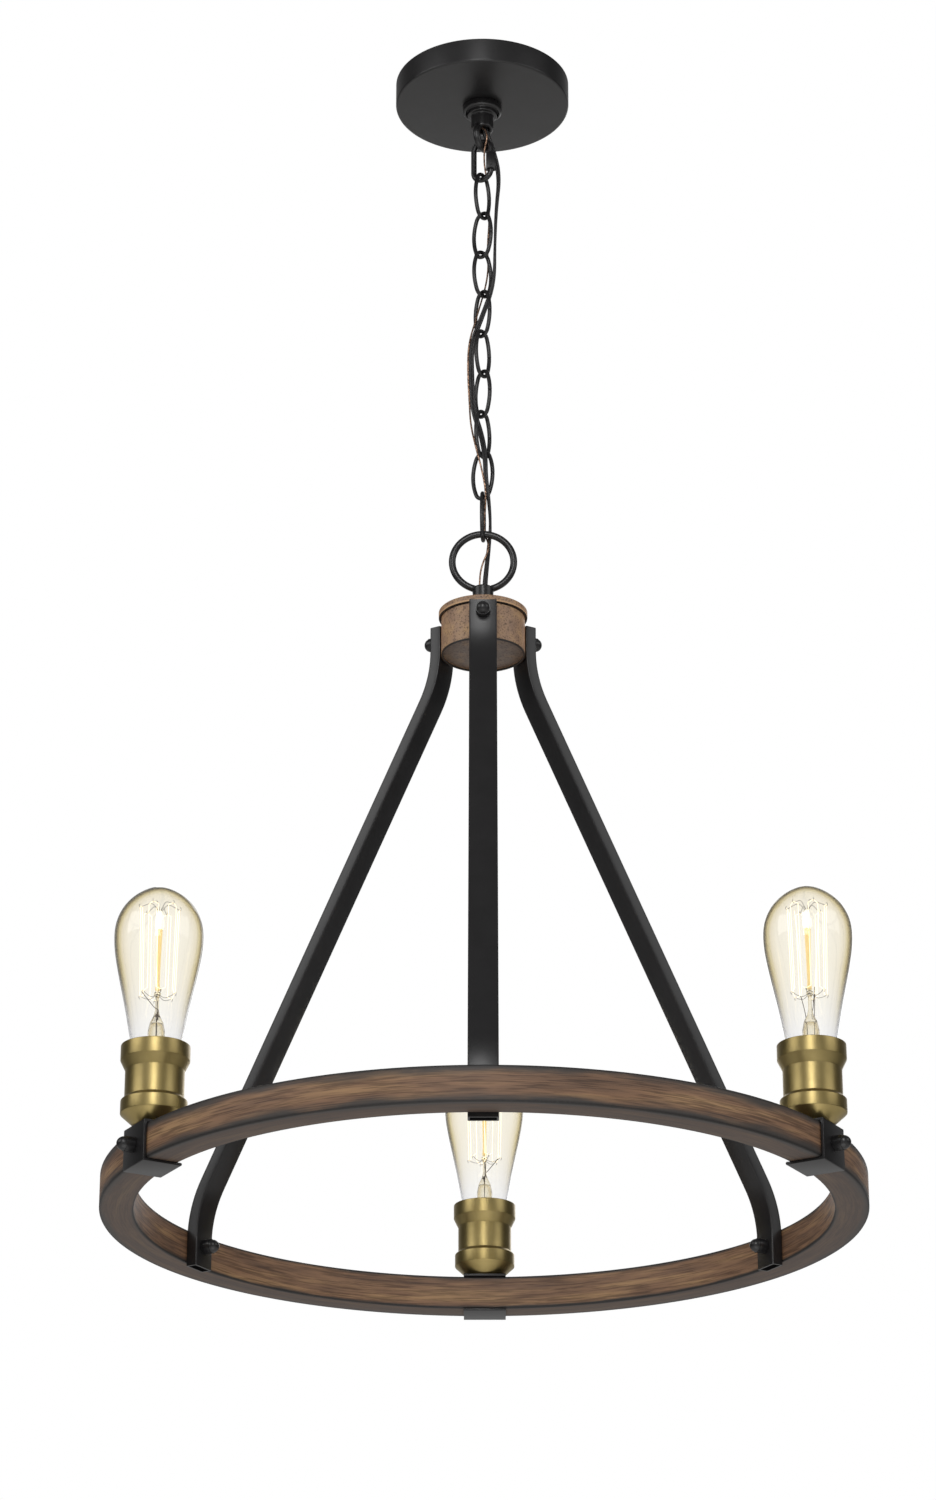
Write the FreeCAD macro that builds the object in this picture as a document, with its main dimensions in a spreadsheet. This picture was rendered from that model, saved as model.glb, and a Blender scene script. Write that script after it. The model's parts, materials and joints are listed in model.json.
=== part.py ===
import FreeCAD, Part
import math
import os
import re

import Sketcher

# A chandelier on a chain: canopy, quick link, nine links, a hub with three bent arms,
# and a ring of square section that carries three lamps. The origin is the middle of the
# junction box slots on the ceiling plane, +Z points up, and all sizes are in millimetres.

SIZES = {
    # clearances
    "running_gap": 0.3,
    "seat_gap": 0.05,
    "bolt_gap": 0.25,
    "overrun": 1.0,
    # crossbar under the junction box
    "bar_length": 104.0,
    "bar_width": 25.0,
    "bar_thickness": 2.2,
    "slot_spacing": 88.9,
    "slot_length": 12.0,
    "slot_width": 4.8,
    "ground_screw_place": 24.0,
    "ground_head_radius": 4.2,
    "ground_head_height": 2.6,
    "ground_shank_radius": 1.9,
    # threaded nipples and their hexagonal nuts
    "nipple_radius": 4.76,
    "nipple_bore": 3.3,
    "nipple_inset": 0.4,
    "nipple_length": 17.0,
    "nut_corner": 8.6,
    "nut_height": 4.0,
    # canopy and the threaded ring that holds it up
    "canopy_radius": 65.0,
    "canopy_height": 18.9,
    "canopy_wall": 1.2,
    "canopy_edge": 1.5,
    "canopy_hole": 12.6,
    "ring_nut_radius": 14.6,
    "ring_nut_height": 4.5,
    "ring_nut_lip": 0.9,
    # cast loop under the canopy
    "collar_level": -11.5,
    "collar_radius": 12.1,
    "collar_drop": 4.8,
    "shoulder_radius": 11.1,
    "shoulder_height": 3.3,
    "neck_radius": 8.3,
    "neck_height": 11.5,
    "neck_bore": 5.4,
    "loop_drop": 26.6,
    "loop_ring": 9.0,
    "loop_wire": 5.4,
    # quick link with a sleeve over its opening
    "quick_height": 36.5,
    "quick_width": 18.5,
    "quick_wire": 4.2,
    "quick_opening": 3.0,
    "sleeve_length": 14.0,
    "sleeve_corner": 4.05,
    "sleeve_drop": 2.35,
    "sleeve_cover": 0.8,
    # oval chain links
    "link_height": 39.55,
    "link_width": 20.0,
    "link_wire": 3.0,
    "link_crown": 6.2,
    "link_count": 9,
    # supply cord and ground wire
    "cord_diameter": 4.2,
    "ground_diameter": 1.3,
    # large loop on the hub
    "hub_ring": 22.05,
    "hub_wire": 5.1,
    "hub_ring_rise": 40.1,
    "hub_collar_radius": 7.5,
    "hub_collar_height": 19.6,
    "hub_collar_bore": 4.9,
    # hub
    "lid_radius": 31.6,
    "lid_thickness": 1.5,
    "lid_skirt": 4.9,
    "lid_edge": 0.6,
    "lid_gap": 0.15,
    "hub_radius": 29.75,
    "hub_height": 33.4,
    "hub_wall": 1.5,
    "plate_recess": 1.6,
    "plate_thickness": 1.5,
    "stem_rise": 6.0,
    # arms
    "arm_width": 19.4,
    "arm_thickness": 8.5,
    "arm_wall": 1.3,
    "arm_slope": 28.4,
    "arm_bend": 80.0,
    "arm_top_gap": 2.1,
    "arm_hub_run": 18.8,
    "arm_foot_run": 21.0,
    "arm_foot_drop": 2.6,
    "hub_bolt_drop": 8.8,
    # bolts
    "bolt_head_radius": 5.1,
    "bolt_shank_radius": 2.4,
    "hub_head_side": 3.4,
    "hub_head_dome": 3.2,
    "long_head_side": 6.4,
    "long_head_dome": 5.2,
    "bolt_bite": 13.0,
    "hub_nut_corner": 4.6,
    "hub_nut_height": 3.2,
    # wooden ring
    "ring_radius": 257.0,
    "ring_width": 23.0,
    "ring_height": 23.7,
    # lamp bracket
    "bracket_width": 30.5,
    "bracket_sheet": 2.0,
    "bracket_tail": 2.5,
    # lampholder, with levels over the top of its bracket
    "cup_wall": 1.1,
    "cup_foot_radius": 12.6,
    "cup_band_radius": 21.7,
    "cup_body_radius": 19.3,
    "cup_rim_radius": 22.6,
    "cup_cone_level": 8.3,
    "cup_band_level": 16.9,
    "cup_shoulder_level": 19.2,
    "cup_body_level": 37.6,
    "cup_flare_level": 44.4,
    "cup_rim_level": 54.4,
    "holder_foot_radius": 11.5,
    "holder_radius": 17.0,
    "holder_cone_level": 8.0,
    "holder_level": 46.0,
    "holder_floor": 22.5,
    "shell_radius": 13.75,
    "shell_wall": 0.35,
    "lamp_stem_rise": 6.5,
    "lamp_stem_bite": 6.0,
    # bulb, with levels over the underside of its contact
    "bulb_length": 142.0,
    "bulb_radius": 29.4,
    "bulb_wide_level": 110.5,
    "glass_wall": 0.8,
    "bulb_neck_radius": 12.1,
    "bulb_neck_level": 13.0,
    "bulb_shoulder_radius": 16.3,
    "bulb_shoulder_level": 33.0,
    "bulb_tip_radius": 2.2,
    "cap_radius": 12.9,
    "cap_wall": 0.4,
    "cap_level": 25.5,
    "cap_cone_level": 7.0,
    "contact_radius": 4.6,
    "contact_top_radius": 9.6,
    "contact_button": 0.8,
    "contact_height": 3.3,
    "mount_radius": 2.3,
    "mount_flare_level": 17.0,
    "mount_waist_level": 40.0,
    "mount_top_level": 131.0,
    "cage_top_radius": 8.5,
    "cage_foot_radius": 12.5,
    "cage_top_level": 127.0,
    "cage_foot_level": 66.0,
    "filament_radius": 0.35,
}

# Sizes and levels worked out from the ones above. A level is a height over the ceiling
# plane, but on a lampholder and a bulb it is a height over that piece's own foot.
DERIVED = {
    "thread_hole": "nipple_radius + seat_gap",
    "stem_hole": "nipple_radius + bolt_gap",
    "bolt_hole": "bolt_shank_radius + bolt_gap",
    "collar_foot": "-(canopy_height + collar_drop)",
    "shoulder_foot": "collar_foot - shoulder_height",
    "neck_foot": "shoulder_foot - neck_height",
    "loop_mid": "-(canopy_height + loop_drop)",
    "loop_bore_foot": "loop_mid + loop_ring / 2",
    "quick_reach": "(quick_height - quick_wire) / 2",
    "quick_side": "(quick_width - quick_wire) / 2",
    "quick_end": "quick_reach - quick_side",
    "quick_mid": "loop_mid - loop_ring + (loop_wire + quick_wire) / 2 + running_gap - quick_reach",
    "sleeve_foot": "quick_mid - sleeve_drop - sleeve_length / 2",
    "quick_gate_foot": "-(sleeve_drop + sleeve_length / 2 - sleeve_cover)",
    "quick_gate_top": "quick_gate_foot + quick_opening",
    "link_reach": "(link_height - link_wire) / 2",
    "link_side": "(link_width - link_wire) / 2",
    "link_rise": "link_reach - link_crown",
    "link_bow": "(link_side ^ 2 + link_rise ^ 2 - link_crown ^ 2) / (2 * (link_side - link_crown))",
    "link_back": "link_bow - link_side",
    "link_lean": "atan(link_rise / link_back) / 1 deg",
    "link_first": "quick_mid - quick_reach + (quick_wire + link_wire) / 2 + running_gap - link_reach",
    "link_pitch": "link_height - 2 * link_wire - running_gap",
    "link_last": "link_first - (link_count - 1) * link_pitch",
    "hub_loop_mid": "link_last - link_reach + (link_wire + hub_wire) / 2 + running_gap - hub_ring",
    "hub_top": "hub_loop_mid - hub_ring_rise",
    "hub_foot": "hub_top - hub_height",
    "plate_level": "hub_foot + plate_recess",
    "stem_foot": "plate_level - seat_gap - nut_height",
    "arm_top": "hub_top - lid_skirt - arm_top_gap",
    "hub_bolt_level": "arm_top - hub_bolt_drop",
    "arm_hub_mid": "hub_radius + seat_gap + arm_thickness / 2",
    "arm_foot_face": "sqrt((ring_radius - ring_width) ^ 2 - (arm_width / 2) ^ 2) - seat_gap",
    "arm_foot_mid": "arm_foot_face - arm_thickness / 2",
    "arm_bend_in": "arm_bend * (1 - cos(arm_slope))",
    "arm_bend_down": "arm_bend * sin(arm_slope)",
    "arm_reach": "arm_foot_mid - arm_hub_mid - 2 * arm_bend_in",
    "arm_bend_level": "arm_top - arm_hub_run",
    "foot_bend_level": "arm_bend_level - 2 * arm_bend_down - arm_reach / tan(arm_slope)",
    "arm_foot": "foot_bend_level - arm_foot_run",
    "ring_foot": "arm_foot + arm_foot_drop",
    "ring_top": "ring_foot + ring_height",
    "ring_mid": "ring_foot + ring_height / 2",
    "ring_inside": "ring_radius - ring_width",
    "lamp_radius": "ring_radius - ring_width / 2",
    "bracket_face": "ring_radius + seat_gap",
    "bracket_top": "ring_top + seat_gap + bracket_sheet",
    "lamp_level": "bracket_top + seat_gap",
    "holder_bore": "shell_radius + seat_gap",
    "holder_foot": "cup_wall + seat_gap",
    "shell_foot": "holder_floor + seat_gap",
    "bulb_foot": "lamp_level + shell_foot + shell_wall + running_gap",
    "cap_foot": "contact_height + running_gap",
    "glass_rise": "bulb_wide_level - bulb_shoulder_level",
    "glass_growth": "bulb_radius - bulb_shoulder_radius",
    "dome_height": "bulb_length - bulb_wide_level",
    "cage_height": "cage_top_level - cage_foot_level",
    "cage_spread": "cage_foot_radius - cage_top_radius",
}

# How the bulb's side widens between shoulder and widest level, and how its dome closes
# above that: shares of the height, then shares of the growth or of the widest radius.
# The glass's hidden inner side follows the dome in fewer steps.
SIDE_SHARES = ((0.28, 0.27), (0.62, 0.71))
DOME_SHARES = ((0.17, 0.97), (0.45, 0.83), (0.74, 0.55), (0.93, 0.26))
INNER_DOME_SHARES = ((0.45, 0.83), (0.93, 0.26))

# Where a bolt's domed head bends and ends: shares of its radius, then of its dome
HEAD_SHARES = ((0.72, 0.66), (0.25, 1.0))

# Turns about the main axis, in degrees, as the links hang and the arms and lamps stand
LOOP_TURN = 62.0
QUICK_TURN = -28.0
LINK_TURNS = (54.0, -42.0, 43.0, -52.0, 56.0, -52.6, 55.0, -34.0, 85.0)
ARM_TURNS = (-90.0, 30.0, 150.0)
LAMP_TURNS = (90.0, 210.0, 330.0)

# Flat sides and straight runs of the faceted forms
CANOPY_SIDES = 40
HUB_SIDES = 36
RING_SIDES = 72
CUP_SIDES = 16
COLLAR_SIDES = 16
NIPPLE_SIDES = 8
DRILL_SIDES = 8
BOLT_SIDES = 8
BULB_SIDES = 12
MOUNT_SIDES = 6
HEX_SIDES = 6
WIRE_SIDES = 8
LINK_SIDES = 6
CORD_SIDES = 5
GROUND_SIDES = 3
THIN_SIDES = 3
CROWN_RUNS = 5
BOW_RUNS = 3
QUICK_RUNS = 5
LOOP_RUNS = 16
HUB_LOOP_RUNS = 20
CAGE_LEGS = 6

# The supply cord leaves the cast loop, hangs on the right of the first links, passes
# through the fourth and seventh links and goes down into the collar on the hub.
CORD_ROUTE = (
    (0.7, 0.1, -19.0),
    (0.7, 0.2, -36.0),
    (7.4, 2.2, -52.0),
    (13.0, 3.4, -76.0),
    (10.2, 1.6, -106.0),
    (9.2, -0.4, -138.0),
    (8.8, -0.9, -170.0),
    (0.4, -0.1, -196.0),
    (-8.5, 0.3, -221.0),
    (-8.2, 0.4, -248.0),
    (-7.4, 1.2, -274.0),
    (-1.1, -0.9, -295.6),
    (1.7, -7.1, -316.0),
    (2.0, -8.2, -333.0),
    (4.2, -6.3, -351.0),
    (5.5, 2.4, -366.0),
    (4.6, 6.4, -380.0),
    (2.6, 3.9, -400.0),
    (1.1, 1.2, -418.0),
    (1.4, 0.3, -430.0),
)
GROUND_ROUTE = (
    (-4.1, -1.8, -19.0),
    (-4.1, 2.4, -33.0),
    (4.9, -8.9, -45.0),
    (0.2, -0.5, -62.0),
    (4.8, 10.3, -84.0),
    (5.2, 8.8, -112.0),
    (3.5, 7.5, -136.0),
    (4.6, 7.7, -160.0),
    (-4.7, 0.0, -199.8),
    (-10.6, -5.1, -224.0),
    (-10.9, -1.4, -248.0),
    (-9.6, -1.7, -272.0),
    (-8.9, -5.8, -290.0),
    (-5.3, -10.2, -310.0),
    (-0.5, -11.1, -330.0),
    (2.7, -10.5, -350.0),
    (0.1, 6.0, -371.0),
    (5.3, -0.3, -386.0),
    (-1.7, 0.5, -402.0),
    (-2.6, -1.6, -418.0),
    (-2.9, -1.6, -430.0),
)
TANGENT_SHARE = 0.45

Vector = FreeCAD.Vector
UP = Vector(0, 0, 1)

doc = FreeCAD.newDocument("chandelier")
sheet = doc.addObject("Spreadsheet::Sheet", "Sizes")
pieces = []


# Sizes


def fill_sheet():
    """Write every driving size as a plain number with its name as the alias."""
    for row, (name, number) in enumerate(SIZES.items(), start=1):
        sheet.set("A%d" % row, name)
        sheet.set("B%d" % row, str(number))
        sheet.setAlias("B%d" % row, name)
    doc.recompute()


def expanded(formula):
    """Turn a formula of size names into one that reads the sheet."""
    def swap(match):
        word = match.group(0)
        if word in DERIVED:
            return "(" + expanded(DERIVED[word]) + ")"
        return "Sizes." + word if word in SIZES else word
    return re.sub(r"[a-z][a-z_]*", swap, formula)


def value(formula):
    """The number that a formula of size names gives now."""
    return float(sheet.evalExpression(expanded(formula)))


def bind(thing, **formulas):
    """Tie properties of an object to formulas of size names."""
    for name, formula in formulas.items():
        thing.setExpression(name, expanded(formula))
    return thing


def facing(turn):
    """The level direction at a turn about the main axis."""
    return Vector(math.cos(math.radians(turn)), math.sin(math.radians(turn)), 0)


def around(turn, radius):
    """Formulas of the place on a circle about the main axis."""
    return {"x": "(%s) * cos(%s)" % (radius, turn), "y": "(%s) * sin(%s)" % (radius, turn)}


def place(thing, x="0", y="0", z="0", rotation=None):
    """Turn an object and tie its place to formulas of size names."""
    thing.Placement = FreeCAD.Placement(Vector(0, 0, 0), rotation or FreeCAD.Rotation())
    for letter, formula in (("x", x), ("y", y), ("z", z)):
        thing.setExpression("Placement.Base." + letter, expanded(formula))
    return thing


def keep(thing, label):
    """Note an object as a finished piece under its own name."""
    thing.Label = label
    pieces.append(thing)
    return thing


# Sketches and bodies


def pin(sketch, arguments, formula):
    """Add a constraint whose value follows a formula."""
    index = sketch.addConstraint(Sketcher.Constraint(*arguments, value(formula)))
    sketch.setExpression("Constraints[%d]" % index, expanded(formula))


def bulge(first, last, radius, left):
    """An arc between two points that bulges to the left or right of the way."""
    half = (last - first) / 2
    side = Vector(-half.y, half.x, 0).normalize() * (1 if left else -1)
    away = math.sqrt(radius ** 2 - half.Length ** 2)
    return Part.Arc(first, (first + last) / 2 + side * (radius - away), last)


def draw(sketch, corners, arcs=None, closed=True):
    """Draw runs and arcs through corners whose places, and radii, are formulas."""
    arcs = arcs or {}
    spots = [Vector(value(u), value(v), 0) for u, v in corners]
    ends = []
    for i in range(len(spots) if closed else len(spots) - 1):
        first = spots[i]
        last = spots[(i + 1) % len(spots)]
        if i in arcs:
            sketch.addGeometry(bulge(first, last, value(arcs[i][0]), arcs[i][1]), False)
        else:
            sketch.addGeometry(Part.LineSegment(first, last), False)
        forward = (sketch.getPoint(i, 1) - first).Length < (sketch.getPoint(i, 2) - first).Length
        ends.append((1, 2) if forward else (2, 1))
    for i in range(len(ends) if closed else len(ends) - 1):
        after = (i + 1) % len(ends)
        sketch.addConstraint(Sketcher.Constraint("Coincident", i, ends[i][1], after, ends[after][0]))
    for i, (u, v) in enumerate(corners):
        edge, end = (i, ends[i][0]) if i < len(ends) else (i - 1, ends[-1][1])
        pin(sketch, ("DistanceX", -1, 1, edge, end), u)
        pin(sketch, ("DistanceY", -1, 1, edge, end), v)
    for i, (radius, _) in arcs.items():
        pin(sketch, ("Radius", i), radius)
    return sketch


def sketch_on(body, role, name):
    """An empty sketch on one of the body's own origin planes."""
    sketch = body.newObject("Sketcher::SketchObject", name)
    plane = [part for part in body.Origin.OriginFeatures if part.Role == role][0]
    sketch.AttachmentSupport = [(plane, "")]
    sketch.MapMode = "FlatFace"
    return sketch


def spread(body, kind, role, name, corners, length):
    """Pad or pocket an outline evenly to both sides of one of the body's planes."""
    sketch = draw(sketch_on(body, role, name + "_outline"), corners)
    feature = body.newObject("PartDesign::" + kind, name)
    feature.Profile = sketch
    feature.SideType = "Symmetric"
    return bind(feature, Length=length)


def box_corners(u, v, wide, high):
    """Corner formulas of a rectangle about a middle point."""
    signs = (("-", "-"), ("+", "-"), ("+", "+"), ("-", "+"))
    return [("%s %s (%s) / 2" % (u, s, wide), "%s %s (%s) / 2" % (v, t, high)) for s, t in signs]


# Drilled holes and booleans


def drill(name, radius, length, direction=UP, **where):
    """A many sided bar that clears a round one, from a place along a direction."""
    made = doc.addObject("Part::Prism", name)
    made.Polygon = DRILL_SIDES
    bind(made, Circumradius="(%s) / cos(180 / %d)" % (radius, DRILL_SIDES), Height=length)
    return place(made, rotation=FreeCAD.Rotation(UP, direction), **where)


def round_end(name, radius, length, **where):
    """A truly round bar, for a slot that a screw slides along."""
    made = doc.addObject("Part::Cylinder", name)
    bind(made, Radius=radius, Height=length)
    return place(made, **where)


def cut(name, base, tools):
    """Take one or more tools away from a base."""
    made = doc.addObject("Part::Cut", name)
    made.Base = base
    made.Tool = tools[0] if len(tools) == 1 else fused(name + "_tools", tools)
    return made


def fused(name, things):
    made = doc.addObject("Part::MultiFuse", name)
    made.Shapes = things
    return made


def grouped(label, things):
    """Like pieces under one name, each a solid of its own."""
    made = doc.addObject("Part::Compound", label)
    made.Links = things
    return keep(made, label)


# Faceted turnings


def skin(rows, closed):
    """A solid with a flat face between each two neighbouring corners of two rows."""
    faces = []
    for i in range(len(rows) if closed else len(rows) - 1):
        lower = rows[i]
        upper = rows[(i + 1) % len(rows)]
        for j in range(len(lower)):
            k = (j + 1) % len(lower)
            faces.append(flat_face([lower[j], lower[k], upper[k], upper[j]]))
    if not closed:
        faces += [flat_face(rows[0]), flat_face(rows[-1])]
    solid = Part.Solid(Part.Shell(faces))
    if solid.Volume < 0:
        solid.reverse()
    return solid


def flat_face(corners):
    return Part.Face(Part.makePolygon(list(corners) + [corners[0]]))


def turned(name, sides, profile, closed=False, rotation=None, **where):
    """A many sided turning from radius and level formulas, with closed ends or a bore."""
    rows = []
    for radius, level in profile:
        reach = value(radius)
        height = value(level)
        angles = [2 * math.pi * (j + 0.5) / sides for j in range(sides)]
        rows.append([Vector(reach * math.cos(a), reach * math.sin(a), height) for a in angles])
    made = doc.addObject("Part::Feature", name)
    made.Shape = skin(rows, closed)
    return place(made, rotation=rotation, **where)


def tube_profile(outside, bore, foot, top):
    return [(outside, foot), (outside, top), (bore, top), (bore, foot)]


# Bent wires


def arc_runs(middle, radius, first, last, runs):
    """Corner formulas of straight runs round an arc, lifted so that the runs touch it."""
    step = "(%s - (%s)) / %d" % (last, first, runs)
    corners = []
    for i in range(runs + 1):
        reach = radius if i in (0, runs) else "%s / cos((%s) / 2)" % (radius, step)
        angle = "%s + %d * (%s)" % (first, i, step)
        u = "%s + %s * cos(%s)" % (middle[0], reach, angle)
        v = "%s + %s * sin(%s)" % (middle[1], reach, angle)
        corners.append((u, v))
    return corners


def wire_form(name, corners, thickness, sides=WIRE_SIDES, closed=True):
    """A wire bent in an upright plane: flat sided, and mitred from run to run."""
    path = draw(doc.addObject("Sketcher::SketchObject", name + "_path"), corners, closed=closed)
    path.Placement = FreeCAD.Placement(Vector(0, 0, 0), FreeCAD.Rotation(Vector(1, 0, 0), 90))
    section = doc.addObject("Part::RegularPolygon", name + "_section")
    section.Polygon = sides
    bind(section, Circumradius="%s / 2 / cos(180 / %d)" % (thickness, sides))
    half_side = FreeCAD.Rotation(UP, 180 / sides)
    place(section, x=corners[0][0], z=corners[0][1], rotation=half_side)
    wire = doc.addObject("Part::Sweep", name)
    wire.Sections = [section]
    wire.Spine = (path, ["Edge%d" % (i + 1) for i in range(path.GeometryCount)])
    wire.Solid = True
    wire.Frenet = False
    wire.Transition = "Right corner"
    return wire


def ring_corners(radius, runs):
    """Corners of a ring of straight runs, from the middle of its right hand run."""
    half = "180 / %d" % runs
    corners = [(radius, "0")]
    for i in range(runs):
        angle = "%d * %s" % (2 * i + 1, half)
        reach = "%s / cos(%s)" % (radius, half)
        corners.append(("%s * cos(%s)" % (reach, angle), "%s * sin(%s)" % (reach, angle)))
    return corners


def hang(thing, level, turn):
    return place(thing, z=level, rotation=FreeCAD.Rotation(UP, turn))


# Ceiling hardware


def make_crossbar():
    body = doc.addObject("PartDesign::Body", "crossbar_body")
    plate = box_corners("0", "0", "bar_length", "bar_width")
    spread(body, "Pad", "XY_Plane", "crossbar_plate", plate, "bar_thickness")
    for side in ("-", "+"):
        mid = "%s slot_spacing / 2" % side
        slot = box_corners(mid, "0", "slot_length - slot_width", "slot_width")
        spread(body, "Pocket", "XY_Plane", "slot", slot, "bar_thickness + overrun")
    place(body, z="-bar_thickness / 2")
    through = "bar_thickness + 2 * overrun"
    under = "-(bar_thickness + overrun)"
    holes = []
    for side in ("-", "+"):
        for end in ("-", "+"):
            x = "%s slot_spacing / 2 %s (slot_length - slot_width) / 2" % (side, end)
            holes.append(round_end("slot_end", "slot_width / 2", through, x=x, z=under))
    holes.append(drill("centre_hole", "stem_hole", through, z=under))
    screw_hole = "ground_shank_radius + seat_gap"
    holes.append(drill("screw_hole", screw_hole, through, x="ground_screw_place", z=under))
    keep(cut("crossbar_drilled", body, holes), "ceiling_crossbar")


def make_ground_screw():
    head = "-(bar_thickness + seat_gap)"
    profile = [
        ("ground_shank_radius", "-seat_gap"),
        ("ground_shank_radius", head),
        ("ground_head_radius", head),
        ("ground_head_radius", head + " - ground_head_height"),
    ]
    keep(turned("screw", HEX_SIDES, profile, x="ground_screw_place"), "ground_screw")


def make_nipple():
    foot = "-(nipple_inset + nipple_length)"
    profile = tube_profile("nipple_radius", "nipple_bore", foot, "-nipple_inset")
    keep(turned("nipple", NIPPLE_SIDES, profile, closed=True), "threaded_nipple")


def hex_nut(name, corner, bore, height, **where):
    """A nut with its underside at a place and its bore along the given axis."""
    nut = doc.addObject("Part::Prism", name + "_blank")
    nut.Polygon = HEX_SIDES
    bind(nut, Circumradius=corner, Height=height)
    return place(cut(name, nut, [drill(name + "_bore", bore, height)]), **where)


def make_lock_nuts():
    upper = "-(bar_thickness + seat_gap + nut_height)"
    lower = "collar_level + 2 * seat_gap"
    nuts = [hex_nut("lock_nut", "nut_corner", "thread_hole", "nut_height", z=z) for z in (upper, lower)]
    grouped("lock_nuts", nuts)


def make_canopy():
    inside = "canopy_radius - canopy_wall"
    floor = "canopy_wall - canopy_height"
    corners = [
        ("canopy_radius", "0"),
        ("canopy_radius", "canopy_edge - canopy_height"),
        ("canopy_radius - canopy_edge", "-canopy_height"),
        ("canopy_hole", "-canopy_height"),
        ("canopy_hole", floor),
        (inside, floor),
        (inside, "0"),
    ]
    keep(turned("canopy_shell", CANOPY_SIDES, corners, closed=True), "canopy")


def make_ring_nut():
    top = "-(canopy_height + seat_gap)"
    foot = top + " - ring_nut_height"
    bore = "(collar_radius + running_gap)"
    profile = [
        ("ring_nut_radius", top),
        ("ring_nut_radius", foot),
        ("(ring_nut_radius + %s) / 2" % bore, foot + " - ring_nut_lip"),
        (bore, foot + " - ring_nut_lip"),
        (bore, top),
    ]
    keep(turned("ring_nut", COLLAR_SIDES, profile, closed=True), "canopy_ring_nut")


def make_canopy_loop():
    profile = [
        ("collar_radius", "collar_level"),
        ("collar_radius", "collar_foot"),
        ("shoulder_radius", "collar_foot"),
        ("shoulder_radius", "shoulder_foot"),
        ("neck_radius", "shoulder_foot"),
        ("neck_radius", "neck_foot"),
    ]
    collar = turned("loop_collar", COLLAR_SIDES, profile)
    ring = wire_form("loop_ring_form", ring_corners("loop_ring", LOOP_RUNS), "loop_wire")
    hang(ring, "loop_mid", LOOP_TURN)
    nipple_foot = "-(nipple_inset + nipple_length + running_gap)"
    thread = drill("loop_thread", "thread_hole", "collar_level - (%s)" % nipple_foot, z=nipple_foot)
    bore = drill("loop_bore", "neck_bore", nipple_foot + " - loop_bore_foot", z="loop_bore_foot")
    keep(cut("loop_drilled", fused("loop_casting", [collar, ring]), [thread, bore]), "canopy_loop")


# Chain


def make_quick_link():
    """An oval with straight sides, open for a short way on its right side."""
    upper = arc_runs(("0", "quick_end"), "quick_side", "0", "180", QUICK_RUNS)
    lower = arc_runs(("0", "-quick_end"), "quick_side", "180", "360", QUICK_RUNS)
    corners = [("quick_side", "quick_gate_top")] + upper + lower + [("quick_side", "quick_gate_foot")]
    wire = wire_form("quick_wire_form", corners, "quick_wire", closed=False)
    keep(hang(wire, "quick_mid", QUICK_TURN), "quick_link")


def make_sleeve():
    blank = doc.addObject("Part::Prism", "sleeve_blank")
    blank.Polygon = HEX_SIDES
    bind(blank, Circumradius="sleeve_corner", Height="sleeve_length")
    bore = "quick_wire / 2 / cos(180 / %d) + seat_gap" % WIRE_SIDES
    sleeve = cut("sleeve", blank, [drill("sleeve_bore", bore, "sleeve_length")])
    spot = around(QUICK_TURN, "quick_side")
    place(sleeve, z="sleeve_foot", rotation=FreeCAD.Rotation(UP, QUICK_TURN), **spot)
    keep(sleeve, "quick_link_sleeve")


def link_corners():
    """An oval link: small arcs at the crowns joined by large arcs along the sides."""
    lean = "link_lean"
    right = ("-link_back", "0")
    left = ("link_back", "0")
    top = ("0", "link_rise")
    foot = ("0", "-link_rise")
    rising = arc_runs(right, "link_bow", "-" + lean, lean, BOW_RUNS)[BOW_RUNS // 2 + 1:-1]
    over = arc_runs(top, "link_crown", lean, "180 - " + lean, CROWN_RUNS)
    falling = arc_runs(left, "link_bow", "180 - " + lean, "180 + " + lean, BOW_RUNS)[1:-1]
    under = arc_runs(foot, "link_crown", "180 + " + lean, "360 - " + lean, CROWN_RUNS)
    back = arc_runs(right, "link_bow", "-" + lean, lean, BOW_RUNS)[1:BOW_RUNS // 2 + 1]
    return [("link_side", "0")] + rising + over + falling + under + back


def make_links():
    for i in range(round(value("link_count"))):
        wire = wire_form("link_wire_form", link_corners(), "link_wire", LINK_SIDES)
        turn = LINK_TURNS[i % len(LINK_TURNS)]
        keep(hang(wire, "link_first - %d * link_pitch" % i, turn), "chain_link_%d" % (i + 1))


def make_cord(label, route, diameter, sides):
    """A cord of straight runs joined by tangent arcs that follow hand chosen points."""
    points = [Vector(*point) for point in route]
    edges = []
    radii = []
    last = points[0]
    for before, corner, after in zip(points, points[1:], points[2:]):
        way_in = before - corner
        way_out = after - corner
        tangent = TANGENT_SHARE * min(way_in.Length, way_out.Length)
        start = corner + way_in.normalize() * tangent
        end = corner + way_out.normalize() * tangent
        turn = math.pi - way_in.getAngle(way_out)
        radius = tangent / math.tan(turn / 2)
        inward = (way_in + way_out).normalize()
        middle = corner + inward * (radius / math.cos(turn / 2) - radius)
        edges.append(Part.LineSegment(last, start).toShape())
        edges.append(Part.Arc(start, middle, end).toShape())
        radii.append(radius)
        last = end
    edges.append(Part.LineSegment(last, points[-1]).toShape())
    path = Part.Wire(edges)
    section = cord_section(points[0], points[1] - points[0], value(diameter) / 2, sides)
    tube = path.makePipeShell([section], True, False)
    expected = Part.Face(section).Area * path.Length
    print(label, "radii", " ".join("%.1f" % radius for radius in radii))
    print(label, "length %.1f, volume over section times length %.4f" % (path.Length, tube.Volume / expected))
    made = doc.addObject("Part::Feature", label)
    made.Shape = tube
    keep(made, label)


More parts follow.
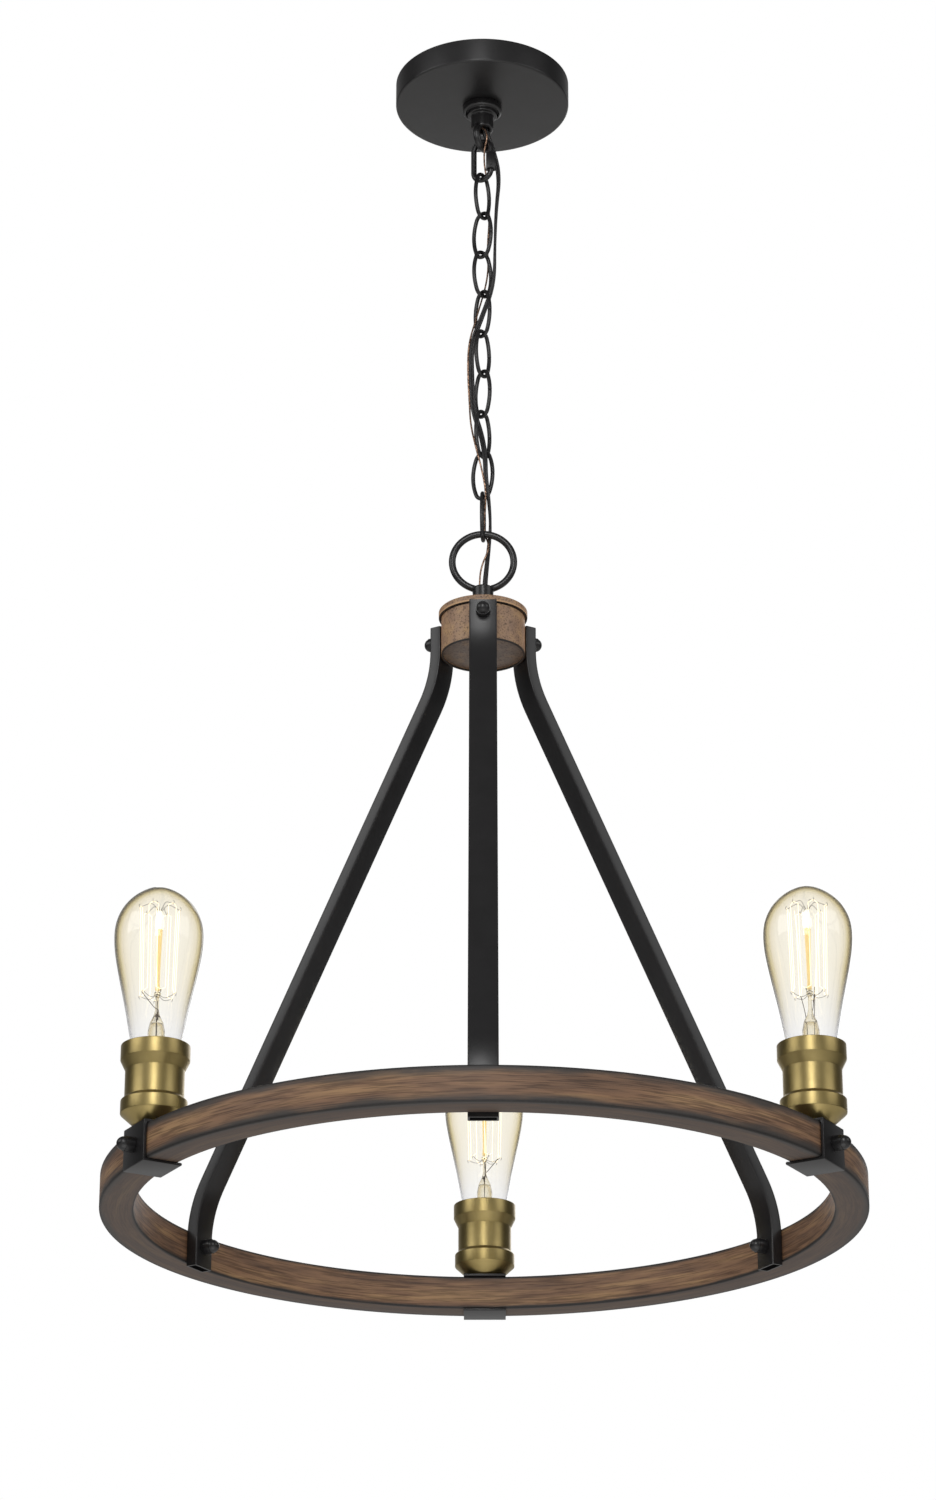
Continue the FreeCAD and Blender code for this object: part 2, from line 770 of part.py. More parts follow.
def cord_section(middle, along, radius, sides):
    """The flat sided outline of a cord square to its first run."""
    spin = FreeCAD.Rotation(UP, along)
    corners = []
    for i in range(sides + 1):
        angle = 2 * math.pi * i / sides
        corners.append(middle + spin.multVec(Vector(radius * math.cos(angle), radius * math.sin(angle), 0)))
    return Part.makePolygon(corners)


# Hub


def make_hub_loop():
    ring = wire_form("hub_ring_form", ring_corners("hub_ring", HUB_LOOP_RUNS), "hub_wire")
    hang(ring, "hub_loop_mid", 0)
    collar_top = "hub_top + hub_collar_height"
    profile = [("hub_collar_radius", "hub_top + seat_gap"), ("hub_collar_radius", collar_top)]
    collar = turned("hub_collar", COLLAR_SIDES, profile)
    bore = drill("hub_loop_bore", "hub_collar_bore", "hub_collar_height + hub_wire", z="hub_top")
    keep(cut("hub_loop_drilled", fused("hub_loop_casting", [ring, collar]), [bore]), "hub_loop")


def make_hub_lid():
    inside = "hub_radius + lid_gap"
    corners = [
        ("stem_hole", "hub_top"),
        ("lid_radius - lid_edge", "hub_top"),
        ("lid_radius", "hub_top - lid_edge"),
        ("lid_radius", "hub_top - lid_skirt"),
        (inside, "hub_top - lid_skirt"),
        (inside, "hub_top - lid_thickness"),
        ("stem_hole", "hub_top - lid_thickness"),
    ]
    keep(turned("hub_lid_turned", HUB_SIDES, corners, closed=True), "hub_lid")


def make_hub_body():
    top = "hub_top - lid_thickness - seat_gap"
    profile = tube_profile("hub_radius", "hub_radius - hub_wall", "hub_foot", top)
    tube = turned("hub_tube", HUB_SIDES, profile, closed=True)
    holes = []
    for turn in ARM_TURNS:
        spot = around(turn, "hub_radius - hub_wall - overrun")
        through = "hub_wall + 2 * overrun"
        holes.append(drill("hub_hole", "bolt_hole", through, facing(turn), z="hub_bolt_level", **spot))
    keep(cut("hub_drilled", tube, holes), "hub_body")


def make_base_plate():
    rim = "hub_radius - hub_wall - seat_gap"
    profile = tube_profile(rim, "stem_hole", "plate_level", "plate_level + plate_thickness")
    keep(turned("base_plate_turned", HUB_SIDES, profile, closed=True), "hub_base_plate")


def make_hub_stem():
    profile = tube_profile("nipple_radius", "nipple_bore", "stem_foot", "hub_top + stem_rise")
    keep(turned("hub_stem_turned", NIPPLE_SIDES, profile, closed=True), "hub_stem")
    upper = "hub_top - lid_thickness - seat_gap - nut_height"
    lower = "plate_level + plate_thickness + seat_gap"
    nuts = []
    for level in (upper, lower, "stem_foot"):
        nuts.append(hex_nut("stem_nut", "nut_corner", "thread_hole", "nut_height", z=level))
    grouped("hub_stem_nuts", nuts)


# Arms and ring


def make_arm(number, turn):
    """A rectangular tube swept along an upright run, a slope and another upright run."""
    body = doc.addObject("PartDesign::Body", "arm_%d_tube" % number)
    corners = [
        ("arm_hub_mid", "arm_top"),
        ("arm_hub_mid", "arm_bend_level"),
        ("arm_hub_mid + arm_bend_in", "arm_bend_level - arm_bend_down"),
        ("arm_foot_mid - arm_bend_in", "foot_bend_level + arm_bend_down"),
        ("arm_foot_mid", "foot_bend_level"),
        ("arm_foot_mid", "arm_foot"),
    ]
    bends = {1: ("arm_bend", False), 3: ("arm_bend", True)}
    path = draw(sketch_on(body, "XZ_Plane", "arm_path"), corners, bends, closed=False)
    section = sketch_on(body, "XY_Plane", "arm_section")
    bind(section, **{"AttachmentOffset.Base.z": "arm_top"})
    draw_box(section, "arm_thickness", "arm_width")
    draw_box(section, "arm_thickness - 2 * arm_wall", "arm_width - 2 * arm_wall")
    doc.recompute()
    tube = body.newObject("PartDesign::AdditivePipe", "arm_pipe")
    tube.Profile = section
    tube.Spine = (path, [])
    through = "arm_thickness + 2 * overrun"
    near_hub = "hub_radius + seat_gap - overrun"
    near_ring = "arm_foot_face + overrun"
    holes = [
        drill("arm_hub_hole", "bolt_hole", through, Vector(1, 0, 0), x=near_hub, z="hub_bolt_level"),
        drill("arm_foot_hole", "bolt_hole", through, Vector(-1, 0, 0), x=near_ring, z="ring_mid"),
    ]
    drilled = cut("arm_%d_drilled" % number, body, holes)
    keep(hang(drilled, "0", turn), "arm_%d" % number)


def draw_box(sketch, thick, wide):
    """Add a rectangle about the arm's middle line to a sketch."""
    first = sketch.GeometryCount
    corners = box_corners("arm_hub_mid", "0", thick, wide)
    spots = [Vector(value(u), value(v), 0) for u, v in corners]
    for i in range(4):
        sketch.addGeometry(Part.LineSegment(spots[i], spots[(i + 1) % 4]), False)
    for i in range(4):
        sketch.addConstraint(Sketcher.Constraint("Coincident", first + i, 2, first + (i + 1) % 4, 1))
        pin(sketch, ("DistanceX", -1, 1, first + i, 1), corners[i][0])
        pin(sketch, ("DistanceY", -1, 1, first + i, 1), corners[i][1])


def bolt(name, side, dome, shank, direction, **where):
    """A domed bolt that points its head along a direction from its seat."""
    profile = [
        ("bolt_shank_radius", "-(%s)" % shank),
        ("bolt_shank_radius", "0"),
        ("bolt_head_radius", "0"),
        ("bolt_head_radius", side),
    ]
    for width, rise in HEAD_SHARES:
        profile.append(("bolt_head_radius * %s" % width, "%s + %s * %s" % (side, dome, rise)))
    return turned(name, BOLT_SIDES, profile, rotation=FreeCAD.Rotation(UP, direction), **where)


def make_hub_bolts():
    bolts = []
    nuts = []
    head = ("hub_head_side", "hub_head_dome")
    shank = "seat_gap + arm_thickness + hub_wall + hub_nut_height + 2 * bolt_gap + overrun"
    wall_face = "sqrt((hub_radius - hub_wall) ^ 2 - hub_nut_corner ^ 2) - seat_gap"
    bore = "bolt_shank_radius + seat_gap"
    for turn in ARM_TURNS:
        out = facing(turn)
        seat = dict(around(turn, "arm_hub_mid + arm_thickness / 2 + seat_gap"), z="hub_bolt_level")
        spot = dict(around(turn, wall_face + " - hub_nut_height"), z="hub_bolt_level")
        bolts.append(bolt("hub_bolt", *head, shank, out, **seat))
        nut = hex_nut("bolt_nut", "hub_nut_corner", bore, "hub_nut_height", **spot)
        nut.Placement.Rotation = FreeCAD.Rotation(UP, out)
        nuts.append(nut)
    grouped("hub_bolts", bolts)
    grouped("hub_bolt_nuts", nuts)


def make_ring_bolts():
    head = ("long_head_side", "long_head_dome")
    feet = []
    for turn in ARM_TURNS:
        seat = dict(around(turn, "arm_foot_mid - arm_thickness / 2 - seat_gap"), z="ring_mid")
        feet.append(bolt("foot_bolt", *head, "arm_thickness + bolt_bite", -facing(turn), **seat))
    grouped("arm_foot_bolts", feet)
    outer = []
    for turn in LAMP_TURNS:
        seat = dict(around(turn, "bracket_face + bracket_sheet + seat_gap"), z="ring_mid")
        outer.append(bolt("side_bolt", *head, "bracket_sheet + bolt_bite", facing(turn), **seat))
    grouped("bracket_bolts", outer)


def make_ring():
    profile = tube_profile("ring_radius", "ring_inside", "ring_foot", "ring_top")
    hoop = turned("hoop", RING_SIDES, profile, closed=True)
    depth = "bolt_bite + 2 * overrun"
    holes = []
    for turn in ARM_TURNS:
        spot = around(turn, "ring_inside - overrun")
        holes.append(drill("foot_hole", "bolt_hole", depth, facing(turn), z="ring_mid", **spot))
    for turn in LAMP_TURNS:
        spot = around(turn, "ring_radius + overrun")
        holes.append(drill("side_hole", "bolt_hole", depth, -facing(turn), z="ring_mid", **spot))
        seat = around(turn, "lamp_radius")
        foot = "ring_top - lamp_stem_bite - overrun"
        holes.append(drill("stem_socket", "stem_hole", "lamp_stem_bite + 2 * overrun", z=foot, **seat))
    keep(cut("hoop_drilled", hoop, holes), "ring")


# Lamps


def make_bracket(number, turn):
    """A strap bent over the ring's outer side, from its top to its underside."""
    body = doc.addObject("PartDesign::Body", "bracket_%d_strap" % number)
    tail = "ring_inside - bracket_tail"
    outside = "bracket_face + bracket_sheet"
    under = "ring_foot - seat_gap"
    corners = [
        (tail, "bracket_top"),
        (outside, "bracket_top"),
        (outside, under + " - bracket_sheet"),
        (tail, under + " - bracket_sheet"),
        (tail, under),
        ("bracket_face", under),
        ("bracket_face", "bracket_top - bracket_sheet"),
        (tail, "bracket_top - bracket_sheet"),
    ]
    spread(body, "Pad", "XZ_Plane", "strap", corners, "bracket_width")
    through = "bracket_sheet + 2 * overrun"
    below = "bracket_top - bracket_sheet - overrun"
    behind = "bracket_face - overrun"
    holes = [
        drill("strap_stem_hole", "stem_hole", through, x="lamp_radius", z=below),
        drill("strap_bolt_hole", "bolt_hole", through, Vector(1, 0, 0), x=behind, z="ring_mid"),
    ]
    keep(hang(cut("bracket_%d_drilled" % number, body, holes), "0", turn), "lamp_bracket_%d" % number)


def cup_corners():
    """The stepped brass cup: its outer side going up, its inner side coming down."""
    steps = [
        ("cup_foot_radius", "0"),
        ("cup_band_radius", "cup_cone_level"),
        ("cup_band_radius", "cup_band_level"),
        ("cup_body_radius", "cup_shoulder_level"),
        ("cup_body_radius", "cup_body_level"),
        ("cup_rim_radius", "cup_flare_level"),
    ]
    outer = steps + [("cup_rim_radius", "cup_rim_level")]
    inner = [("cup_rim_radius - cup_wall", "cup_rim_level")]
    for radius, level in reversed(steps[1:]):
        inner.append(("%s - cup_wall" % radius, "%s + cup_wall / 2" % level))
    inner.append(("cup_foot_radius - cup_wall / 2", "cup_wall"))
    return [("stem_hole", "0")] + outer + inner + [("stem_hole", "cup_wall")]


def holder_corners():
    """The insulating body inside the cup, with a recess under its floor for the stem."""
    recess = "holder_foot + lamp_stem_rise + overrun"
    return [
        ("stem_hole", recess),
        ("stem_hole", "holder_foot"),
        ("holder_foot_radius", "holder_foot"),
        ("holder_radius", "holder_cone_level"),
        ("holder_radius", "holder_level"),
        ("holder_bore", "holder_level"),
        ("holder_bore", "holder_floor"),
    ]


def shell_corners():
    """The thin screw shell with its closed foot."""
    return [
        ("shell_radius", "shell_foot"),
        ("shell_radius", "holder_level"),
        ("shell_radius - shell_wall", "holder_level"),
        ("shell_radius - shell_wall", "shell_foot + shell_wall"),
    ]


def make_lampholders():
    stem = tube_profile("nipple_radius", "nipple_bore", "-lamp_stem_bite", "holder_foot + lamp_stem_rise")
    kinds = (
        ("lampholder_cups", CUP_SIDES, cup_corners(), True),
        ("lampholder_bodies", CUP_SIDES, holder_corners(), False),
        ("lampholder_shells", CUP_SIDES, shell_corners(), False),
        ("lampholder_stems", NIPPLE_SIDES, stem, True),
    )
    for label, sides, profile, closed in kinds:
        made = []
        for turn in LAMP_TURNS:
            spot = around(turn, "lamp_radius")
            made.append(turned(label + "_turned", sides, profile, closed=closed, z="lamp_level", **spot))
        grouped(label, made)


# Bulbs


def glass_side(inset, side_shares, dome_shares):
    """The bulb's glass from its neck to its tip, drawn in by an inset."""
    rows = [
        ("bulb_neck_radius - %s" % inset, "bulb_neck_level"),
        ("bulb_neck_radius - %s" % inset, "cap_level"),
        ("bulb_shoulder_radius - %s" % inset, "bulb_shoulder_level"),
    ]
    for rise, growth in side_shares:
        radius = "bulb_shoulder_radius + glass_growth * %s - %s" % (growth, inset)
        rows.append((radius, "bulb_shoulder_level + glass_rise * %s" % rise))
    rows.append(("bulb_radius - %s" % inset, "bulb_wide_level"))
    for rise, width in dome_shares:
        radius = "(bulb_radius - %s) * %s" % (inset, width)
        rows.append((radius, "bulb_wide_level + (dome_height - %s) * %s" % (inset, rise)))
    rows.append(("bulb_tip_radius", "bulb_length - %s" % inset))
    return rows


def make_glass(number, spot):
    inner = glass_side("glass_wall", (), INNER_DOME_SHARES)
    outer = glass_side("0", SIDE_SHARES, DOME_SHARES)
    keep(turned("glass", BULB_SIDES, inner[::-1] + outer, **spot), "bulb_glass_%d" % number)


def make_cap(number, spot):
    inner = "cap_radius - cap_wall"
    profile = [
        ("contact_top_radius", "cap_foot"),
        ("cap_radius", "cap_cone_level"),
        ("cap_radius", "cap_level"),
        (inner, "cap_level"),
        (inner, "cap_cone_level"),
        ("contact_top_radius - cap_wall", "cap_foot"),
    ]
    keep(turned("cap", BULB_SIDES, profile, closed=True, **spot), "bulb_base_%d" % number)


def make_contact(number, spot):
    profile = [
        ("contact_radius", "0"),
        ("contact_radius", "contact_button"),
        ("contact_top_radius", "contact_height"),
    ]
    keep(turned("contact", MOUNT_SIDES, profile, **spot), "bulb_contact_%d" % number)


def make_filament(number, spot):
    """The glass mount on the neck, and a cage of legs hung between two stars of hooks."""
    flare = "bulb_neck_radius - glass_wall - running_gap"
    profile = [
        (flare, "bulb_neck_level"),
        (flare, "mount_flare_level"),
        ("mount_radius", "mount_waist_level"),
        ("mount_radius", "mount_top_level"),
    ]
    things = [turned("mount", MOUNT_SIDES, profile)]
    lean = math.degrees(math.atan2(value("cage_spread"), value("cage_height")))
    leg = "sqrt(cage_height ^ 2 + cage_spread ^ 2)"
    for i in range(CAGE_LEGS):
        angle = 360 * i / CAGE_LEGS
        tilt = FreeCAD.Rotation(UP, angle).multiply(FreeCAD.Rotation(Vector(0, 1, 0), -lean))
        things.append(thin_bar(leg, tilt, z="cage_foot_level", **around(angle, "cage_foot_radius")))
    for i in range(CAGE_LEGS // 2):
        angle = 360 * i / CAGE_LEGS
        level = FreeCAD.Rotation(UP, angle).multiply(FreeCAD.Rotation(Vector(0, 1, 0), 90))
        for end in ("foot", "top"):
            radius = "cage_%s_radius" % end
            spot_across = around(angle, "-" + radius)
            things.append(thin_bar("2 * " + radius, level, z="cage_%s_level" % end, **spot_across))
    keep(place(fused("cage", things), **spot), "bulb_filament_%d" % number)


def thin_bar(length, rotation, **where):
    made = doc.addObject("Part::Prism", "thin_bar")
    made.Polygon = THIN_SIDES
    bind(made, Circumradius="filament_radius", Height=length)
    return place(made, rotation=rotation, **where)


# Checks and files


def check_all():
    """Stop if any object failed or any finished piece is empty or not sound."""
    faults = [o.Label for o in doc.Objects if {"Invalid", "Error"} & set(o.State)]
    for piece in pieces:
        if piece.Shape.isNull() or not piece.Shape.isValid() or not piece.Shape.Solids:
            faults.append(piece.Label)
    if faults:
        raise RuntimeError("not sound: " + ", ".join(faults))


def export_all():
    os.makedirs("parts", exist_ok=True)
    for piece in pieces:
        piece.Shape.exportStep("parts/%s.step" % piece.Label)
    print(len(pieces), "pieces,", sum(len(piece.Shape.Solids) for piece in pieces), "solids")


def main():
    fill_sheet()
    make_crossbar()
    make_ground_screw()
    make_nipple()
    make_lock_nuts()
    make_canopy()
    make_ring_nut()
    make_canopy_loop()
    make_quick_link()
    make_sleeve()
    make_links()
    make_cord("supply_cord", CORD_ROUTE, "cord_diameter", CORD_SIDES)
    make_cord("ground_wire", GROUND_ROUTE, "ground_diameter", GROUND_SIDES)
    make_hub_loop()
    make_hub_lid()
    make_hub_body()
    make_base_plate()
    make_hub_stem()
    for number, turn in enumerate(ARM_TURNS, start=1):
        make_arm(number, turn)
    make_hub_bolts()
    make_ring()
    make_ring_bolts()
    for number, turn in enumerate(LAMP_TURNS, start=1):
        make_bracket(number, turn)
    make_lampholders()
    for number, turn in enumerate(LAMP_TURNS, start=1):
        spot = dict(around(turn, "lamp_radius"), z="bulb_foot")
        make_contact(number, spot)
        make_cap(number, spot)
        make_glass(number, spot)
        make_filament(number, spot)
    doc.recompute()
    check_all()
    export_all()


main()
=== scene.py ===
import json
import math

import bmesh
import bpy
from mathutils import Matrix, Vector

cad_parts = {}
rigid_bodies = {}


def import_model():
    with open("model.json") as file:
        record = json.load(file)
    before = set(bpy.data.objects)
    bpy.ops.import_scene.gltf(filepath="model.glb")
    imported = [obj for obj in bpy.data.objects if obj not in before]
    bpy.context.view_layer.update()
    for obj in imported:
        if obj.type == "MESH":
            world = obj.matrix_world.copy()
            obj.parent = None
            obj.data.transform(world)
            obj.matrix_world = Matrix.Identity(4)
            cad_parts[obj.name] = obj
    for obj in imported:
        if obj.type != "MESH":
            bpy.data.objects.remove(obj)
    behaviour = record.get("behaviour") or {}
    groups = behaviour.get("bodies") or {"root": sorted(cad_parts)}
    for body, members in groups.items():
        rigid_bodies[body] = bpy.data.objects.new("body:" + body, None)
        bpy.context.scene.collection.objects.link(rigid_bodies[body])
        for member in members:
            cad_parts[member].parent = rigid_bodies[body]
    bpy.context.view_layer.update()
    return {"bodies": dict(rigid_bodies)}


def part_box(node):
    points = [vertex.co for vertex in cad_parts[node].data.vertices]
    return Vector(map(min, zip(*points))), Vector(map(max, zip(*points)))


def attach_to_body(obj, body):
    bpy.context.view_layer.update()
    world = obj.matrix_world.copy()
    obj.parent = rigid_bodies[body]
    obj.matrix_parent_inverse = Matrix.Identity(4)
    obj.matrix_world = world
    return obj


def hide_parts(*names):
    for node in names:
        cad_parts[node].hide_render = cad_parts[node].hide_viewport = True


# A ring chandelier on a chain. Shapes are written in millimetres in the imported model's own
# frame, with the ceiling plane at level 0 and +Z up, and turned to metres as they are made.

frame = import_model()

MM = 0.001

# Turns of the pieces about the main axis, in degrees
ARM_TURNS = (-90, 30, 150)
LAMP_TURNS = (90, 210, 330)
CANOPY_LOOP_TURN = 62
QUICK_LINK_TURN = -28
LINK_TURNS = (54, -42, 43, -52, 56, -52.6, 55, -34, 85)

# Radii and levels that several pieces share
HUB_BOLT_LEVEL = -453.95
RING_OUTSIDE = 256.9
RING_INSIDE = 234.0
RING_BOLT_LEVEL = -872.47
LAMP_RADIUS = 245.5
CUP_FOOT = -858.52
BULB_TIP = -835.32


def span(node):
    """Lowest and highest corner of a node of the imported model, in millimetres."""
    low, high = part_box(node)
    return low / MM, high / MM


def new_object(name, data):
    """An object in the scene that holds the given data."""
    made = bpy.data.objects.new(name, data)
    bpy.context.scene.collection.objects.link(made)
    return made


# Camera at the photograph's place


def make_camera():
    """A long lens below the ring that looks up by 22.8 degrees."""
    data = bpy.data.cameras.new("photo_camera")
    data.lens = 95.05
    data.sensor_fit = "VERTICAL"
    data.sensor_height = 36.0
    camera = new_object("photo_camera", data)
    camera.location = Vector((4.285, -2565.077, -1622.056)) * MM
    camera.rotation_euler = (math.radians(112.793), 0, math.radians(0.336))
    bpy.context.scene.camera = camera


# Finishes


def colour(code):
    """Linear colour from an sRGB hex value."""
    parts = [int(code[i:i + 2], 16) / 255 for i in (1, 3, 5)]
    return [p / 12.92 if p <= 0.04045 else ((p + 0.055) / 1.055) ** 2.4 for p in parts] + [1.0]


def set_inputs(node, inputs):
    """Give inputs, by name or place, a value or a link from a socket or from the first
    output that a node has in use."""
    for name, source in inputs.items():
        if isinstance(source, bpy.types.Node):
            source = next(socket for socket in source.outputs if socket.enabled)
        if isinstance(source, bpy.types.NodeSocket):
            node.id_data.links.new(source, node.inputs[name])
        else:
            node.inputs[name].default_value = source


def add_node(tree, kind, inputs=None, stops=(), **settings):
    """Add a node with its settings, its inputs and, for a colour ramp, its stops as pairs
    of place and hex colour."""
    node = tree.nodes.new("ShaderNode" + kind)
    for name, setting in settings.items():
        setattr(node, name, setting)
    set_inputs(node, inputs or {})
    for _ in stops[2:]:
        node.color_ramp.elements.new(0.5)
    if stops:
        for point, (place, code) in zip(node.color_ramp.elements, stops):
            point.position = place
            point.color = colour(code)
    return node


def new_finish(name, slot, values):
    """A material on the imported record's slot, with its shader's plain values set."""
    material = bpy.data.materials.new(name)
    material.use_nodes = True
    material["slot"] = slot
    shader = material.node_tree.nodes["Principled BSDF"]
    set_inputs(shader, values)
    return material, material.node_tree, shader


def per_mm(size):
    """Texture scale at which one pattern cell is that many millimetres."""
    return 1 / (size * MM)


def black_powder_coat():
    """Polyester powder baked on steel: matt black with a fine orange peel."""
    material, tree, shader = new_finish("black_powder_coat", "black_steel", {
        "Roughness": 0.33, "Specular IOR Level": 0.58})
    place = add_node(tree, "TexCoord").outputs["Object"]
    clouds = add_node(tree, "TexNoise", {"Vector": place, "Scale": per_mm(18), "Detail": 3.0})
    tone = add_node(tree, "ValToRGB", {"Fac": clouds}, ((0.3, "#131213"), (0.7, "#191819")))
    peel = add_node(tree, "TexNoise", {"Vector": place, "Scale": per_mm(0.9), "Detail": 2.0})
    bump = add_node(tree, "Bump", {"Strength": 0.05, "Distance": 0.02 * MM, "Height": peel})
    set_inputs(shader, {"Base Color": tone, "Normal": bump})
    return material


def clouded_finish(name, slot, values, size, detail, stops):
    """A finish whose tones lie over it in soft clouds of that size."""
    material, tree, shader = new_finish(name, slot, values)
    place = add_node(tree, "TexCoord").outputs["Object"]
    clouds = add_node(tree, "TexNoise", {
        "Vector": place, "Scale": per_mm(size), "Detail": detail})
    tone = add_node(tree, "ValToRGB", {"Fac": clouds}, stops)
    set_inputs(shader, {"Base Color": tone})
    return material


def zinc_plated_steel():
    """Bright zinc over pressed steel, a little clouded by its passivation."""
    return clouded_finish("zinc_plated_steel", "zinc_steel", {"Metallic": 1.0, "Roughness": 0.3},
                          4, 4.0, ((0.3, "#b9bcc0"), (0.7, "#cfd0cf")))


def speckled_bronze_coat(name, tones, rims=()):
    """Brown enamel sponged over tan on the hub: soft clouds with fine dark speckles. Each
    rim is a level, the height above it that is rubbed to a lighter tan, and the height
    below which it is painted black: a painted shadow under the rim."""
    material, tree, shader = new_finish(name, "hub_paint", {
        "Roughness": 0.5, "Sheen Weight": 0.35, "Sheen Roughness": 0.35,
        "Sheen Tint": colour("#d08a3c")})
    place = add_node(tree, "TexCoord").outputs["Object"]
    clouds = add_node(tree, "TexNoise", {"Vector": place, "Scale": per_mm(9), "Detail": 5.0})
    tone = add_node(tree, "ValToRGB", {"Fac": clouds}, list(zip((0.32, 0.52, 0.72), tones)))
    specks = add_node(tree, "TexNoise", {"Vector": place, "Scale": per_mm(1.3), "Detail": 4.0})
    dark = add_node(tree, "ValToRGB", {"Fac": specks}, ((0.5, "#ffffff"), (0.7, "#5b473c")))
    painted = add_node(tree, "Mix", {"Factor": 0.75, "A": tone, "B": dark},
                       data_type="RGBA", blend_type="MULTIPLY")
    level = add_node(tree, "SeparateXYZ", {"Vector": place}).outputs["Z"]
    for rim, rubbed, under in rims:
        above = add_node(tree, "Math", {0: level, 1: rim * MM}, operation="SUBTRACT")
        uneven = add_node(tree, "Math", {0: clouds, 1: 0.8 * MM, 2: above},
                          operation="MULTIPLY_ADD")
        worn = add_node(tree, "MapRange", {
            "Value": uneven, "From Min": (rubbed + 0.4) * MM, "From Max": (rubbed + 0.7) * MM,
            "To Min": 0.8, "To Max": 0.0})
        inside = add_node(tree, "Math", {0: above, 1: -0.6 * MM}, operation="GREATER_THAN")
        share = add_node(tree, "Math", {0: worn, 1: inside}, operation="MULTIPLY")
        tan = add_node(tree, "Mix", {"Factor": share, "A": painted, "B": colour("#bb956c")},
                       data_type="RGBA")
        # Painted shadow: from just below the rim up to that height the coat turns black, for the
        # shade under the lid's skirt and at the drum's foot.
        edge = add_node(tree, "Math", {0: above, 1: under * MM}, operation="LESS_THAN")
        black = add_node(tree, "Math", {0: edge, 1: inside}, operation="MULTIPLY")
        painted = add_node(tree, "Mix", {"Factor": black, "A": tan, "B": colour("#1d1a18")},
                           data_type="RGBA")
    bump = add_node(tree, "Bump", {"Strength": 0.15, "Distance": 0.05 * MM, "Height": specks})
    set_inputs(shader, {"Base Color": painted, "Normal": bump})
    return material


def brushed_antique_brass():
    """Spun brass, brushed round on the lathe and toned brown: fine rings that stretch
    each reflection into an upright streak."""
    material, tree, shader = new_finish("brushed_antique_brass", "antique_brass", {
        "Metallic": 1.0, "Roughness": 0.36, "Coat Weight": 0.2, "Coat Roughness": 0.3})
    place = add_node(tree, "TexCoord").outputs["Object"]
    flat = add_node(tree, "Mapping", {"Vector": place, "Scale": (0.02, 0.02, 1.0)})
    rings = add_node(tree, "TexNoise", {"Vector": flat, "Scale": per_mm(0.35), "Detail": 3.0})
    clouds = add_node(tree, "TexNoise", {"Vector": place, "Scale": per_mm(14), "Detail": 2.0})
    tone = add_node(tree, "ValToRGB", {"Fac": clouds}, ((0.3, "#a28f5b"), (0.7, "#af9c67")))
    bump = add_node(tree, "Bump", {"Strength": 0.2, "Distance": 0.03 * MM, "Height": rings})
    set_inputs(shader, {"Base Color": tone, "Normal": bump})
    return material


